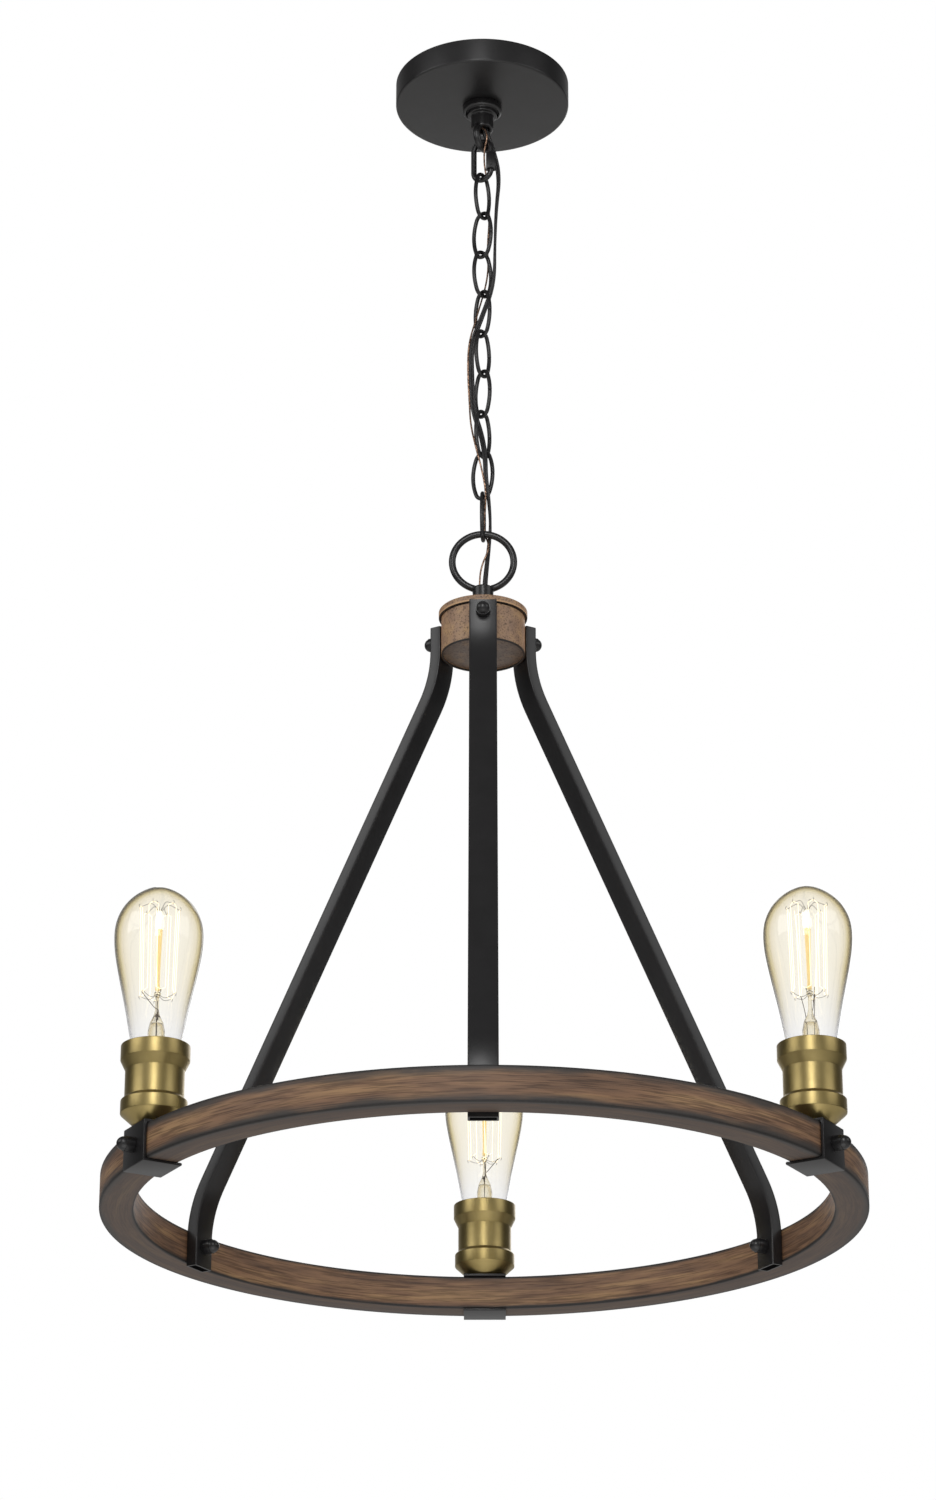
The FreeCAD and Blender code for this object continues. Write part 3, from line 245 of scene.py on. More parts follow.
def burnt_edge_wood(middle_radius, middle_level, half):
    """Stained pine bent into a hoop: long grain round the ring, rubbed back to brown on
    the faces and scorched almost black along the edges."""
    material, tree, shader = new_finish("burnt_edge_wood", "ring_wood", {"Roughness": 0.55})
    place = add_node(tree, "TexCoord").outputs["Object"]
    x, y, z = add_node(tree, "SeparateXYZ", {"Vector": place}).outputs
    square = add_node(tree, "Math", {0: x, 1: x}, operation="MULTIPLY")
    squares = add_node(tree, "Math", {0: y, 1: y, 2: square}, operation="MULTIPLY_ADD")
    away = add_node(tree, "Math", {0: squares}, operation="SQRT")
    turn_x = add_node(tree, "Math", {0: x, 1: away}, operation="DIVIDE")
    turn_y = add_node(tree, "Math", {0: y, 1: away}, operation="DIVIDE")
    hoop = add_node(tree, "CombineXYZ", {"X": away, "Y": z, "Z": turn_x})

    def long_grain(width, length, detail):
        """Noise whose cells are that wide across the hoop and that long along it."""
        along = middle_radius / length
        cells = add_node(tree, "VectorMath", {
            0: hoop, 1: (per_mm(width), per_mm(width), along)}, operation="MULTIPLY")
        fourth = add_node(tree, "Math", {0: turn_y, 1: along}, operation="MULTIPLY")
        return add_node(tree, "TexNoise", {
            "Vector": cells, "W": fourth, "Scale": 1.0, "Detail": detail}, noise_dimensions="4D")

    fibres = long_grain(0.8, 22, 4.0)
    bands = long_grain(6.0, 70, 4.0)
    patches = long_grain(9.0, 45, 3.0)
    tone = add_node(tree, "ValToRGB", {"Fac": bands},
                    ((0.3, "#634a39"), (0.5, "#7e5e45"), (0.68, "#977652")))
    lines = add_node(tree, "ValToRGB", {"Fac": fibres}, ((0.41, "#736758"), (0.54, "#ffffff")))
    grain = add_node(tree, "Mix", {"Factor": 0.6, "A": tone, "B": lines},
                     data_type="RGBA", blend_type="MULTIPLY")
    # Depth below the inner or outer side, and below the top or underside. On any face the
    # larger of the two is the distance from its nearest edge.
    outward = add_node(tree, "Math", {0: away, 1: middle_radius * MM}, operation="SUBTRACT")
    upward = add_node(tree, "Math", {0: z, 1: middle_level * MM}, operation="SUBTRACT")
    depths = []
    for offset in (outward, upward):
        distance = add_node(tree, "Math", {0: offset}, operation="ABSOLUTE")
        depths.append(add_node(tree, "Math", {0: half * MM, 1: distance}, operation="SUBTRACT"))
    from_side, from_top = depths
    from_edge = add_node(tree, "Math", {0: from_side, 1: from_top}, operation="MAXIMUM")
    # The scorched border is broad on the hoop's outer side and narrow on its inner one
    border = add_node(tree, "MapRange", {
        "Value": outward, "From Min": -half * 0.9 * MM, "From Max": half * 0.9 * MM,
        "To Min": 2.6 * MM, "To Max": 7.5 * MM})
    scorch = add_node(tree, "Math", {0: from_edge, 1: border}, operation="DIVIDE")
    patchy = add_node(tree, "Math", {0: patches, 1: 1.7, 2: scorch}, operation="MULTIPLY_ADD")
    bare = add_node(tree, "MapRange", {"Value": patchy, "From Min": 0.95, "From Max": 1.85},
                    interpolation_type="SMOOTHSTEP")
    # The flat top and underside are mixed towards a dark brown, darker than the sides
    flat = add_node(tree, "MapRange", {
        "Value": from_top, "From Min": 0.3 * MM, "From Max": 1.2 * MM,
        "To Min": 0.75, "To Max": 0.0})
    darkened_flats = add_node(tree, "Mix", {"Factor": flat, "A": grain, "B": colour("#3c3430")},
                       data_type="RGBA")
    near_edge = add_node(tree, "Math", {0: from_edge, 1: 4 * MM}, operation="DIVIDE")
    char = add_node(tree, "ValToRGB", {"Fac": near_edge}, ((0.08, "#1c1918"), (0.5, "#3b3633")))
    edged = add_node(tree, "Mix", {"Factor": bare, "A": char, "B": darkened_flats}, data_type="RGBA")
    bump = add_node(tree, "Bump", {"Strength": 0.25, "Distance": 0.1 * MM, "Height": fibres})
    set_inputs(shader, {"Base Color": edged, "Normal": bump})
    return material


def plain_finish(name, slot, code, values):
    """A finish of one colour with a faint cloudiness, for pieces seen from far away."""
    darker = "#" + "".join("%02x" % int(int(code[i:i + 2], 16) * 0.88) for i in (1, 3, 5))
    return clouded_finish(name, slot, values, 3, 3.0, ((0.35, darker), (0.65, code)))


def stranded_copper():
    """Bare copper strands twisted together: painted highlights on the crests and painted shade
    in the grooves between them, drawn as coarse as they need to show."""
    return clouded_finish("stranded_copper", "copper_wire", {"Metallic": 1.0, "Roughness": 0.4},
                          1.6, 2.0, ((0.42, "#6e5546"), (0.58, "#cfa98f")))


def tinted_glass(name, slot, edge_stops, fade=()):
    """Clear glass whose tint deepens where the wall is seen edge on, because there the eye
    looks through more of it. Between two levels the tint may fade to clear below."""
    material, tree, shader = new_finish(name, slot, {
        "Roughness": 0.0, "IOR": 1.45, "Transmission Weight": 1.0})
    edge_on = add_node(tree, "LayerWeight", {"Blend": 0.5}).outputs["Facing"]
    tint = add_node(tree, "ValToRGB", {"Fac": edge_on}, edge_stops)
    if fade:
        clear_below, tinted_above = fade
        place = add_node(tree, "TexCoord").outputs["Object"]
        level = add_node(tree, "SeparateXYZ", {"Vector": place}).outputs["Z"]
        rise = add_node(tree, "MapRange", {
            "Value": level, "From Min": clear_below * MM, "From Max": tinted_above * MM})
        clear = add_node(tree, "ValToRGB", {"Fac": edge_on},
                         ((0.0, "#fefefe"), (0.6, "#f0f0f2"), (0.92, "#a9a9ae")))
        tint = add_node(tree, "Mix", {"Factor": rise, "A": clear, "B": tint}, data_type="RGBA")
    set_inputs(shader, {"Base Color": tint})
    return material


def painted_glow_finish(name, code, glow):
    """A translucent piece beside the filament, with a painted glow of its own colour standing in for
    the light that the bulb's glass keeps off it.
    """
    return new_finish(name, "filament_mount", {
        "Roughness": 0.3, "Base Color": colour(code), "Emission Color": colour(code),
        "Emission Strength": glow})[0]


def carbon_filament():
    """Carbon thread at a dim glow: a white core that reads as a fine line, not as a lamp."""
    return new_finish("carbon_filament", "filament_mount", {
        "Roughness": 0.5, "Base Color": colour("#fff2d2"), "Emission Color": colour("#fff0cc"),
        "Emission Strength": 1.7})[0]


# Outlines, in millimetres


def rounded(corners, radius, steps=4, closed=True):
    """An outline with each corner turned into a short arc. A corner that turns by less than
    six degrees is kept, and an arc takes up at most 0.48 of the runs beside it."""
    corners = [Vector(corner) for corner in corners]
    made = []
    for i, here in enumerate(corners):
        if not closed and i in (0, len(corners) - 1):
            made.append(here)
            continue
        way_in = corners[i - 1] - here
        way_out = corners[(i + 1) % len(corners)] - here
        half = way_in.angle(way_out) / 2
        if half > math.radians(87):
            made.append(here)
            continue
        back = min(radius / math.tan(half), 0.48 * way_in.length, 0.48 * way_out.length)
        size = back * math.tan(half)
        bisector = (way_in.normalized() + way_out.normalized()).normalized()
        middle = here + bisector * (size / math.sin(half))
        first = here + way_in.normalized() * back - middle
        last = here + way_out.normalized() * back - middle
        for k in range(steps + 1):
            mixed = first.lerp(last, k / steps)
            made.append(middle + mixed.normalized() * size)
    return made


def flowing(points, steps):
    """A smooth line through every point."""
    points = [Vector(point) for point in points]
    padded = [points[0] * 2 - points[1]] + points + [points[-1] * 2 - points[-2]]
    made = [points[0]]
    for a, b, c, d in zip(padded, padded[1:], padded[2:], padded[3:]):
        for k in range(1, steps + 1):
            t = k / steps
            made.append(0.5 * (2 * b + (c - a) * t + (2 * a - 5 * b + 4 * c - d) * t ** 2
                               + (3 * b - a - 3 * c + d) * t ** 3))
    return made


def arc(middle, radius, first, last, steps):
    """Points round an arc, from one angle to another in degrees."""
    angles = [math.radians(first + (last - first) * k / steps) for k in range(steps + 1)]
    x, y = middle
    return [Vector((x + radius * math.cos(a), y + radius * math.sin(a))) for a in angles]


def ngon(radius, sides):
    """Corners of a regular polygon about the origin."""
    return arc((0, 0), radius, 0, 360, sides)[:-1]


def inset_line(points, depth):
    """The same line moved inward by a wall's thickness."""
    made = []
    for i, here in enumerate(points):
        way = points[min(i + 1, len(points) - 1)] - points[max(i - 1, 0)]
        inward = Vector((-way.y, way.x)).normalized()
        made.append(here + inward * depth)
    return made


def on_circle(radius, angle, level):
    """A point on a circle about the upright axis, at an angle in degrees."""
    a = math.radians(angle)
    return (radius * math.cos(a), radius * math.sin(a), level)


def add_spline(curve, kind, places, closed=False):
    """Add a spline of that kind with a point at each place."""
    spline = curve.splines.new(kind)
    spline.points.add(len(places) - 1)
    for point, place in zip(spline.points, places):
        point.co = (*Vector(place).to_3d(), 1)
    spline.use_cyclic_u = closed
    return spline


# Meshes, in millimetres


def join_rows(mesh, rows, closed_rows):
    """Skin faces between neighbouring rows of vertices, each row a closed round."""
    pairs = list(zip(rows, rows[1:]))
    if closed_rows:
        pairs.append((rows[-1], rows[0]))
    for lower, upper in pairs:
        count = max(len(lower), len(upper))
        for j in range(count):
            k = (j + 1) % count
            corners = [lower[j % len(lower)], lower[k % len(lower)],
                       upper[k % len(upper)], upper[j % len(upper)]]
            mesh.faces.new(list(dict.fromkeys(corners)))


def turning(outline, sides, closed=True, ripple=None):
    """A shape turned on a lathe from (radius, level) points. Points on the axis are tips."""
    mesh = bmesh.new()
    rows = []
    for radius, level in outline:
        row = []
        for j in range(sides if radius > 0.001 else 1):
            angle = 2 * math.pi * j / sides
            reach = radius + (ripple(radius, level, angle) if ripple else 0)
            row.append(mesh.verts.new((reach * math.cos(angle), reach * math.sin(angle), level)))
        rows.append(row)
    join_rows(mesh, rows, closed)
    return mesh


def solid_turning(corners, sides, soft=0, steps=2):
    """A solid turned from corners that start and end on the axis, with soft edges."""
    outline = rounded(corners, soft, steps, closed=False) if soft else corners
    return turning(outline, sides, closed=False)


def swept(path, section, closed=False):
    """A section of (outward, sideways) points carried along an upright path of (x, z) points."""
    mesh = bmesh.new()
    path = [Vector(point) for point in path]
    rows = []
    for i, here in enumerate(path):
        has_before = closed or i > 0
        has_after = closed or i < len(path) - 1
        before = path[i - 1] if has_before else here * 2 - path[i + 1]
        after = path[(i + 1) % len(path)] if has_after else here * 2 - path[i - 1]
        way_in = (here - before).normalized()
        way_out = (after - here).normalized()
        way = (way_in + way_out).normalized()
        stretch = 1 / way.dot(way_in)
        side = Vector((way.y, -way.x)) * stretch
        rows.append([mesh.verts.new((here.x + side.x * u, v, here.y + side.y * u))
                     for u, v in section])
    join_rows(mesh, rows, closed)
    if not closed:
        mesh.faces.new(rows[0])
        mesh.faces.new(rows[-1])
    return mesh


def stamped(outlines, thickness, bevel):
    """A plate cut to an outline, with any further outlines as holes, and softened edges."""
    curve = bpy.data.curves.new("stamped", "CURVE")
    curve.dimensions = "2D"
    curve.fill_mode = "BOTH"
    curve.extrude = thickness / 2 - bevel
    curve.bevel_depth = bevel
    curve.bevel_resolution = 2
    curve.offset = -bevel
    for outline in outlines:
        add_spline(curve, "POLY", outline, closed=True)
    holder = new_object("stamped", curve)
    bpy.context.view_layer.update()
    evaluated = holder.evaluated_get(bpy.context.evaluated_depsgraph_get())
    data = bpy.data.meshes.new_from_object(evaluated)
    mesh = bmesh.new()
    mesh.from_mesh(data)
    bmesh.ops.remove_doubles(mesh, verts=mesh.verts, dist=0.001)
    bpy.data.meshes.remove(data)
    bpy.data.objects.remove(holder)
    bpy.data.curves.remove(curve)
    return mesh


def take_in(mesh, other):
    """Move the faces of another mesh into this one."""
    spare = bpy.data.meshes.new("spare")
    other.to_mesh(spare)
    other.free()
    mesh.from_mesh(spare)
    bpy.data.meshes.remove(spare)


def standing(x=0, z=0, turn=0):
    """Upright at a place, turned about its own axis."""
    return Matrix.Translation((x, 0, z)) @ Matrix.Rotation(math.radians(turn), 4, "Z")


def around(turn, radius, z):
    """Upright on a circle about the main axis, its own +X pointing outward."""
    return Matrix.Rotation(math.radians(turn), 4, "Z") @ Matrix.Translation((radius, 0, z))


def pointing(turn, radius, z, inward=False):
    """Lying with its own +Z pointing outward or inward on a circle about the main axis."""
    tip = Matrix.Rotation(math.radians(-90 if inward else 90), 4, "Y")
    return around(turn, radius, z) @ tip


def attach(piece, finish, body, replaces):
    """Give a piece its finish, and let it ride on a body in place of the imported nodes."""
    piece.data.materials.append(finish)
    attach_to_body(piece, body)
    if replaces:
        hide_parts(*replaces)


def add_piece(name, mesh, finish, body, replaces=(), where=Matrix.Identity(4), crease=32):
    """Turn a mesh in millimetres into a piece that rides on a body."""
    bmesh.ops.recalc_face_normals(mesh, faces=mesh.faces)
    data = bpy.data.meshes.new(name)
    mesh.to_mesh(data)
    mesh.free()
    data.transform(Matrix.Scale(MM, 4) @ where)
    data.shade_smooth()
    data.set_sharp_from_angle(angle=math.radians(crease))
    piece = new_object(name, data)
    attach(piece, finish, body, replaces)
    return piece


def cast_in_one(piece, bore):
    """Bore overlapping forms, and melt them into one casting with soft inner corners."""
    cut = piece.modifiers.new("bore", "BOOLEAN")
    cut.operation = "DIFFERENCE"
    cut.solver = "EXACT"
    cut.use_self = True
    cut.object = bore
    melt = piece.modifiers.new("melt", "REMESH")
    melt.mode = "VOXEL"
    melt.voxel_size = 0.4 * MM
    melt.use_smooth_shade = True
    smooth = piece.modifiers.new("soften", "SMOOTH")
    smooth.factor = 0.5
    smooth.iterations = 6
    evaluated = piece.evaluated_get(bpy.context.evaluated_depsgraph_get())
    data = bpy.data.meshes.new_from_object(evaluated)
    piece.modifiers.clear()
    data.name = piece.data.name
    piece.data = data
    bpy.data.objects.remove(bore)


# Cords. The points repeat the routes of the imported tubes.

CORD_DIAMETER = 4.2
CORD_ROUTE = (
    (0.7, 0.1, -19.0),
    (0.7, 0.2, -36.0),
    (7.4, 2.2, -52.0),
    (13.0, 3.4, -76.0),
    (10.2, 1.6, -106.0),
    (9.2, -0.4, -138.0),
    (8.8, -0.9, -170.0),
    (0.4, -0.1, -196.0),
    (-8.5, 0.3, -221.0),
    (-8.2, 0.4, -248.0),
    (-7.4, 1.2, -274.0),
    (-1.1, -0.9, -295.6),
    (1.7, -7.1, -316.0),
    (2.0, -8.2, -333.0),
    (4.2, -6.3, -351.0),
    (5.5, 2.4, -366.0),
    (4.6, 6.4, -380.0),
    (2.6, 3.9, -400.0),
    (1.1, 1.2, -418.0),
    (1.4, 0.3, -430.0),
)
GROUND_DIAMETER = 1.3
GROUND_ROUTE = (
    (-4.1, -1.8, -19.0),
    (-4.1, 2.4, -33.0),
    (4.9, -8.9, -45.0),
    (0.2, -0.5, -62.0),
    (4.8, 10.3, -84.0),
    (5.2, 8.8, -112.0),
    (3.5, 7.5, -136.0),
    (4.6, 7.7, -160.0),
    (-4.7, 0.0, -199.8),
    (-10.6, -5.1, -224.0),
    (-10.9, -1.4, -248.0),
    (-9.6, -1.7, -272.0),
    (-8.9, -5.8, -290.0),
    (-5.3, -10.2, -310.0),
    (-0.5, -11.1, -330.0),
    (2.7, -10.5, -350.0),
    (0.1, 6.0, -371.0),
    (5.3, -0.3, -386.0),
    (-1.7, 0.5, -402.0),
    (-2.6, -1.6, -418.0),
    (-2.9, -1.6, -430.0),
)
LINK_BODIES = ["link_%d" % number for number in range(1, 10)]
CHAIN_BODIES = ["ceiling_mount", "quick_link"] + LINK_BODIES + ["fixture"]
# Place in CHAIN_BODIES of the body that each point follows. Near a joint it is the one of the
# two that keeps the cord clear of the links at both ends of the swing.
CORD_FOLLOWS = (0, 0, 0, 1, 2, 3, 5, 5, 5, 7, 8, 8, 9, 9, 10, 10, 10, 11, 11, 11)
GROUND_FOLLOWS = (0, 0, 1, 1, 2, 2, 3, 4, 4, 6, 7, 7, 8, 8, 9, 10, 11, 11, 11, 11, 11)
# Degrees that the two strands twist from one point of the route to the next
STRAND_TWIST = 18


def make_cord(name, node, route, follows, finish):
    """A hanging cord on one smooth line, each of whose points follows the link beside it.
    Each point's radius turns the section, drawn in millimetres, to metres."""
    curve = bpy.data.curves.new(name, "CURVE")
    curve.dimensions = "3D"
    spline = add_spline(curve, "NURBS", [Vector(place) * MM for place in route])
    for point in spline.points:
        point.radius = MM
    spline.order_u = 3
    spline.use_endpoint_u = True
    spline.resolution_u = 8
    cord = new_object(name, curve)
    attach(cord, finish, "ceiling_mount", [node])
    for i, body in enumerate(CHAIN_BODIES[1:], start=1):
        held = [k for k, chosen in enumerate(follows) if chosen == i]
        if held:
            hook = cord.modifiers.new("follow_" + body, "HOOK")
            hook.object = frame["bodies"][body]
            hook.vertex_indices_set(held)
            hook.falloff_type = "NONE"
    return cord


def make_cords(sheath, copper):
    """The supply cord, whose section is two round strands side by side, and the ground wire."""
    cord = make_cord("twin_supply_cord", "supply_cord", CORD_ROUTE, CORD_FOLLOWS, sheath)
    strand = CORD_DIAMETER / 4
    right = [Vector((strand, 0)) + p for p in arc((0, 0), strand, -160, 160, 14)]
    profile = bpy.data.curves.new("two_strands", "CURVE")
    profile.dimensions = "2D"
    add_spline(profile, "POLY", right + [-p for p in right], closed=True)
    shape = new_object("two_strands", profile)
    shape.hide_render = True
    cord.data.bevel_mode = "OBJECT"
    cord.data.bevel_object = shape
    cord.data.use_fill_caps = True
    for k, point in enumerate(cord.data.splines[0].points):
        point.tilt = math.radians(STRAND_TWIST * k)
    wire = make_cord("bare_ground_wire", "ground_wire", GROUND_ROUTE, GROUND_FOLLOWS, copper)
    wire.data.bevel_depth = GROUND_DIAMETER / 2
    wire.data.bevel_resolution = 3


# Threaded pipe, its nuts and the ceiling hardware

PIPE_RADIUS = 4.76
PIPE_BORE = 3.3
THREAD_PITCH = 0.94
THREAD_DEPTH = 0.5
NUT_HEIGHT = 4
GROUND_SCREW_X = 24


def hex_nut(corner, bore, height):
    hexagon = rounded(ngon(corner, 6), 0.5, 2)
    return stamped([hexagon, ngon(bore, 32)], height, 0.35)


def pipe_nut():
    return hex_nut(8.6, PIPE_RADIUS + 0.05, NUT_HEIGHT)


def threaded_pipe(foot, top):
    """A pipe with a cut thread: a ridge that climbs one pitch each turn."""
    rows = round((top - foot) / THREAD_PITCH * 6)
    root = PIPE_RADIUS - THREAD_DEPTH
    outer = [(root, foot + (top - foot) * k / rows) for k in range(rows + 1)]
    outline = [(PIPE_BORE, foot)] + outer + [(PIPE_BORE, top)]

    def ridge(reach, level, angle):
        if reach == PIPE_BORE:
            return 0
        turns = level / THREAD_PITCH - angle / (2 * math.pi)
        return THREAD_DEPTH * (1 - abs(2 * (turns % 1) - 1))

    return turning(outline, 40, ripple=ridge)


def make_ceiling_hardware(zinc):
    """The slotted crossbar, the nipple with its two lock nuts, and the ground screw."""
    low, high = span("ceiling_crossbar")
    slots_apart = 88.9
    slot_radius = 2.4
    slot_run = 3.6
    slots = []
    for side in (-1, 1):
        middle = side * slots_apart / 2
        left = arc((middle - slot_run, 0), slot_radius, 90, 270, 10)
        right = arc((middle + slot_run, 0), slot_radius, -90, 90, 10)
        slots.append(left + right)
    corners = [(low.x, low.y), (high.x, low.y), (high.x, high.y), (low.x, high.y)]
    pipe_hole = ngon(5.0, 32)
    screw_hole = [p + Vector((GROUND_SCREW_X, 0)) for p in ngon(1.95, 20)]
    thickness = high.z - low.z
    bar = stamped([rounded(corners, 2.5)] + slots + [pipe_hole, screw_hole], thickness, 0.3)
    add_piece("crossbar", bar, zinc, "ceiling_mount", ["ceiling_crossbar"],
              standing(z=-thickness / 2))
    low, high = span("threaded_nipple")
    add_piece("nipple", threaded_pipe(low.z, high.z), zinc, "ceiling_mount", ["threaded_nipple"])
    low, high = span("lock_nuts")
    half = NUT_HEIGHT / 2
    for name, level in (("upper_lock_nut", high.z - half), ("lower_lock_nut", low.z + half)):
        add_piece(name, pipe_nut(), zinc, "ceiling_mount", ["lock_nuts"], standing(z=level))
    low, high = span("ground_screw")
    head_radius = 4.2
    head_top = low.z + 2.6
    shank = 1.9
    screw = [(0, low.z), (head_radius, low.z), (head_radius, head_top), (shank, head_top),
             (shank, high.z), (0, high.z)]
    add_piece("ground_screw_turned", solid_turning(screw, 40, 0.4), zinc, "ceiling_mount",
              ["ground_screw"], standing(x=GROUND_SCREW_X))


# Canopy and its loop


def make_canopy(coat):
    """A pressed dish with a rolled outer edge, and the stepped ring nut that holds it up."""
    low, high = span("canopy")
    radius = 65.0
    hole = 12.6
    wall = 1.2
    floor = low.z + wall
    outside = rounded([(radius, high.z), (radius, low.z), (hole, low.z)], 1.5, 8, closed=False)
    inside = rounded([(hole, low.z), (hole, floor), (radius - wall, floor),
                      (radius - wall, high.z)], 0.3, 2, closed=False)
    add_piece("canopy_shell", turning(outside + inside[1:], 160), coat, "canopy", ["canopy"])
    low, high = span("canopy_ring_nut")
    bore = 12.4
    rim = 14.6
    step = low.z + 0.9
    ring = [(rim, high.z), (rim, step), (13.5, low.z), (bore, low.z), (bore, high.z)]
    add_piece("canopy_nut", turning(rounded(ring, 0.5, 3), 96), coat, "canopy",
              ["canopy_ring_nut"])


def make_canopy_loop(coat):
    """Cast in one: a stepped collar, a plain neck and the ring under it."""
    top = span("canopy_loop")[1].z
    rim = 12.1
    rim_foot = -23.7
    step = 11.1
    step_foot = -27.0
    neck = 8.3
    neck_foot = -38.5
    ring_middle = -45.5
    ring_radius = 9.0
    wire_radius = 2.7
    bore = 5.4
    bore_foot = -41.0
    collar = [(0, top), (rim, top), (rim, rim_foot), (step, rim_foot), (step, step_foot),
              (neck, step_foot), (neck, neck_foot), (0, neck_foot)]
    mesh = solid_turning(collar, 96, 0.4)
    path = [(u, v + ring_middle) for u, v in ngon(ring_radius, 64)]
    ring = swept(path, ngon(wire_radius, 24), closed=True)
    ring.transform(Matrix.Rotation(math.radians(CANOPY_LOOP_TURN), 4, "Z"))
    take_in(mesh, ring)
    loop = add_piece("canopy_loop_casting", mesh, coat, "ceiling_mount", ["canopy_loop"])
    hole = [(0, top + 1), (bore, top + 1), (bore, bore_foot), (0, bore_foot)]
    drill = add_piece("loop_bore", solid_turning(hole, 48), coat, "ceiling_mount")
    cast_in_one(loop, drill)


# Chain


def make_quick_link(coat):
    """An oval of wire with an opening on its side, and the sleeve that closes it."""
    low, high = span("quick_link")
    middle = (low.z + high.z) / 2
    wire_radius = 2.1
    side = 7.15
    end = (high.z - low.z) / 2 - wire_radius - side
    opening_top = -5.55
    opening_foot = -8.55
    upper = arc((0, end), side, 0, 180, 24)
    lower = arc((0, -end), side, 180, 360, 24)
    path = [(side, opening_top)] + upper + lower + [(side, opening_foot)]
    add_piece("quick_link_oval", swept(path, ngon(wire_radius, 24)), coat, "quick_link",
              ["quick_link"], standing(z=middle, turn=QUICK_LINK_TURN))
    low, high = span("quick_link_sleeve")
    hexagon = rounded(ngon(4.05, 6), 0.35, 2)
    sleeve = stamped([hexagon, ngon(2.3, 24)], high.z - low.z, 0.4)
    where = around(QUICK_LINK_TURN, side, (low.z + high.z) / 2)
    add_piece("quick_link_nut", sleeve, coat, "quick_link_sleeve", ["quick_link_sleeve"], where)


def link_line(reach, side, crown):
    """Closed line of an oval link: tight arcs at its ends and long arcs down its sides."""
    rise = reach - crown
    bow = (side ** 2 + rise ** 2 - crown ** 2) / (2 * (side - crown))
    back = bow - side
    lean = math.degrees(math.atan(rise / back))
    right = arc((-back, 0), bow, 0, lean, 10)[:-1]
    over = arc((0, rise), crown, lean, 180 - lean, 24)
    left = arc((back, 0), bow, 180 - lean, 180 + lean, 20)[1:-1]
    under = arc((0, -rise), crown, 180 + lean, 360 - lean, 24)
    back_up = arc((-back, 0), bow, -lean, 0, 10)[1:-1]
    return right + over + left + under + back_up


def make_link(number, turn, coat):
    """Wire bent to an oval, with the closed gap of its butt joint half way up one side."""
    node = "chain_link_%d" % number
    low, high = span(node)
    wire = 3.0
    side = 8.5
    crown = 6.2
    path = link_line((high.z - low.z - wire) / 2, side, crown)
    mesh = swept(path, ngon(wire / 2, 20), closed=True)
    seam = 0.35
    seam_depth = 0.22
    for level in (seam, -seam):
        everything = mesh.verts[:] + mesh.edges[:] + mesh.faces[:]
        bmesh.ops.bisect_plane(mesh, geom=everything, plane_co=(0, 0, level), plane_no=(0, 0, 1))
    for vert in mesh.verts:
        if vert.co.x > 0 and abs(vert.co.z) < seam * 0.9:
            vert.co -= Vector((vert.co.x - side, vert.co.y, 0)) * seam_depth
    where = standing(z=(low.z + high.z) / 2, turn=turn)
    add_piece("link_oval_%d" % number, mesh, coat, "link_%d" % number, [node], where, crease=50)


# Hub


def make_hub_loop(coat):
    """Cast in one: a large ring and the collar that it stands on."""
    low, high = span("hub_loop")
    ring_radius = 22.05
    wire_radius = 2.55
    collar = 7.5
    collar_top = low.z + 19.5
    bore = 4.9
    bore_top = low.z + 24.7
    middle = high.z - wire_radius - ring_radius
    path = [(u, v + middle) for u, v in ngon(ring_radius, 120)]
    mesh = swept(path, ngon(wire_radius, 24), closed=True)
    corners = [(0, low.z), (collar, low.z), (collar, collar_top), (0, collar_top)]
    take_in(mesh, solid_turning(corners, 64, 1.0, 3))
    loop = add_piece("hub_loop_casting", mesh, coat, "fixture", ["hub_loop"])
    hole = [(0, low.z - 1), (bore, low.z - 1), (bore, bore_top), (0, bore_top)]
    drill = add_piece("hub_bore", solid_turning(hole, 48), coat, "fixture")
    cast_in_one(loop, drill)


def make_hub(paint, plate_paint_in_painted_shade, zinc):
    """A drum under a lid with a skirt, closed by a recessed plate, on a threaded stem."""
    hole = 5.0
    low, high = span("hub_lid")
    sheet = 1.5
    lid_radius = 31.6
    skirt_inside = 29.9
    lid = [(hole, high.z), (lid_radius, high.z), (lid_radius, low.z), (skirt_inside, low.z),
           (skirt_inside, high.z - sheet), (hole, high.z - sheet)]
    add_piece("hub_lid_spun", turning(rounded(lid, 0.5, 3), 128), paint, "fixture", ["hub_lid"])
    low, high = span("hub_body")
    drum = 29.75
    drum_inside = 28.25
    tube = [(drum, low.z), (drum, high.z), (drum_inside, high.z), (drum_inside, low.z)]
    add_piece("hub_tube", turning(rounded(tube, 0.4, 3), 128), paint, "fixture", ["hub_body"])
    low, high = span("hub_base_plate")
    plate_radius = 28.2
    plate_top = high.z
    plate = [(hole, low.z), (plate_radius, low.z), (plate_radius, high.z), (hole, high.z)]
    # The plate takes the darker copy of the hub's coat, painted shade for its place recessed under
    # the drum.
    add_piece("hub_plate", turning(rounded(plate, 0.3, 2), 128), plate_paint_in_painted_shade, "fixture",
              ["hub_base_plate"])
    low, high = span("hub_stem")
    add_piece("hub_stem_thread", threaded_pipe(low.z, high.z), zinc, "fixture", ["hub_stem"])
    low, high = span("hub_stem_nuts")
    half = NUT_HEIGHT / 2
    for name, level in (("upper", high.z - half), ("inner", plate_top + half + 0.05),
                        ("lower", low.z + half)):
        add_piece("hub_nut_" + name, pipe_nut(), zinc, "fixture", ["hub_stem_nuts"],
                  standing(z=level))


# Arms, ring and brackets


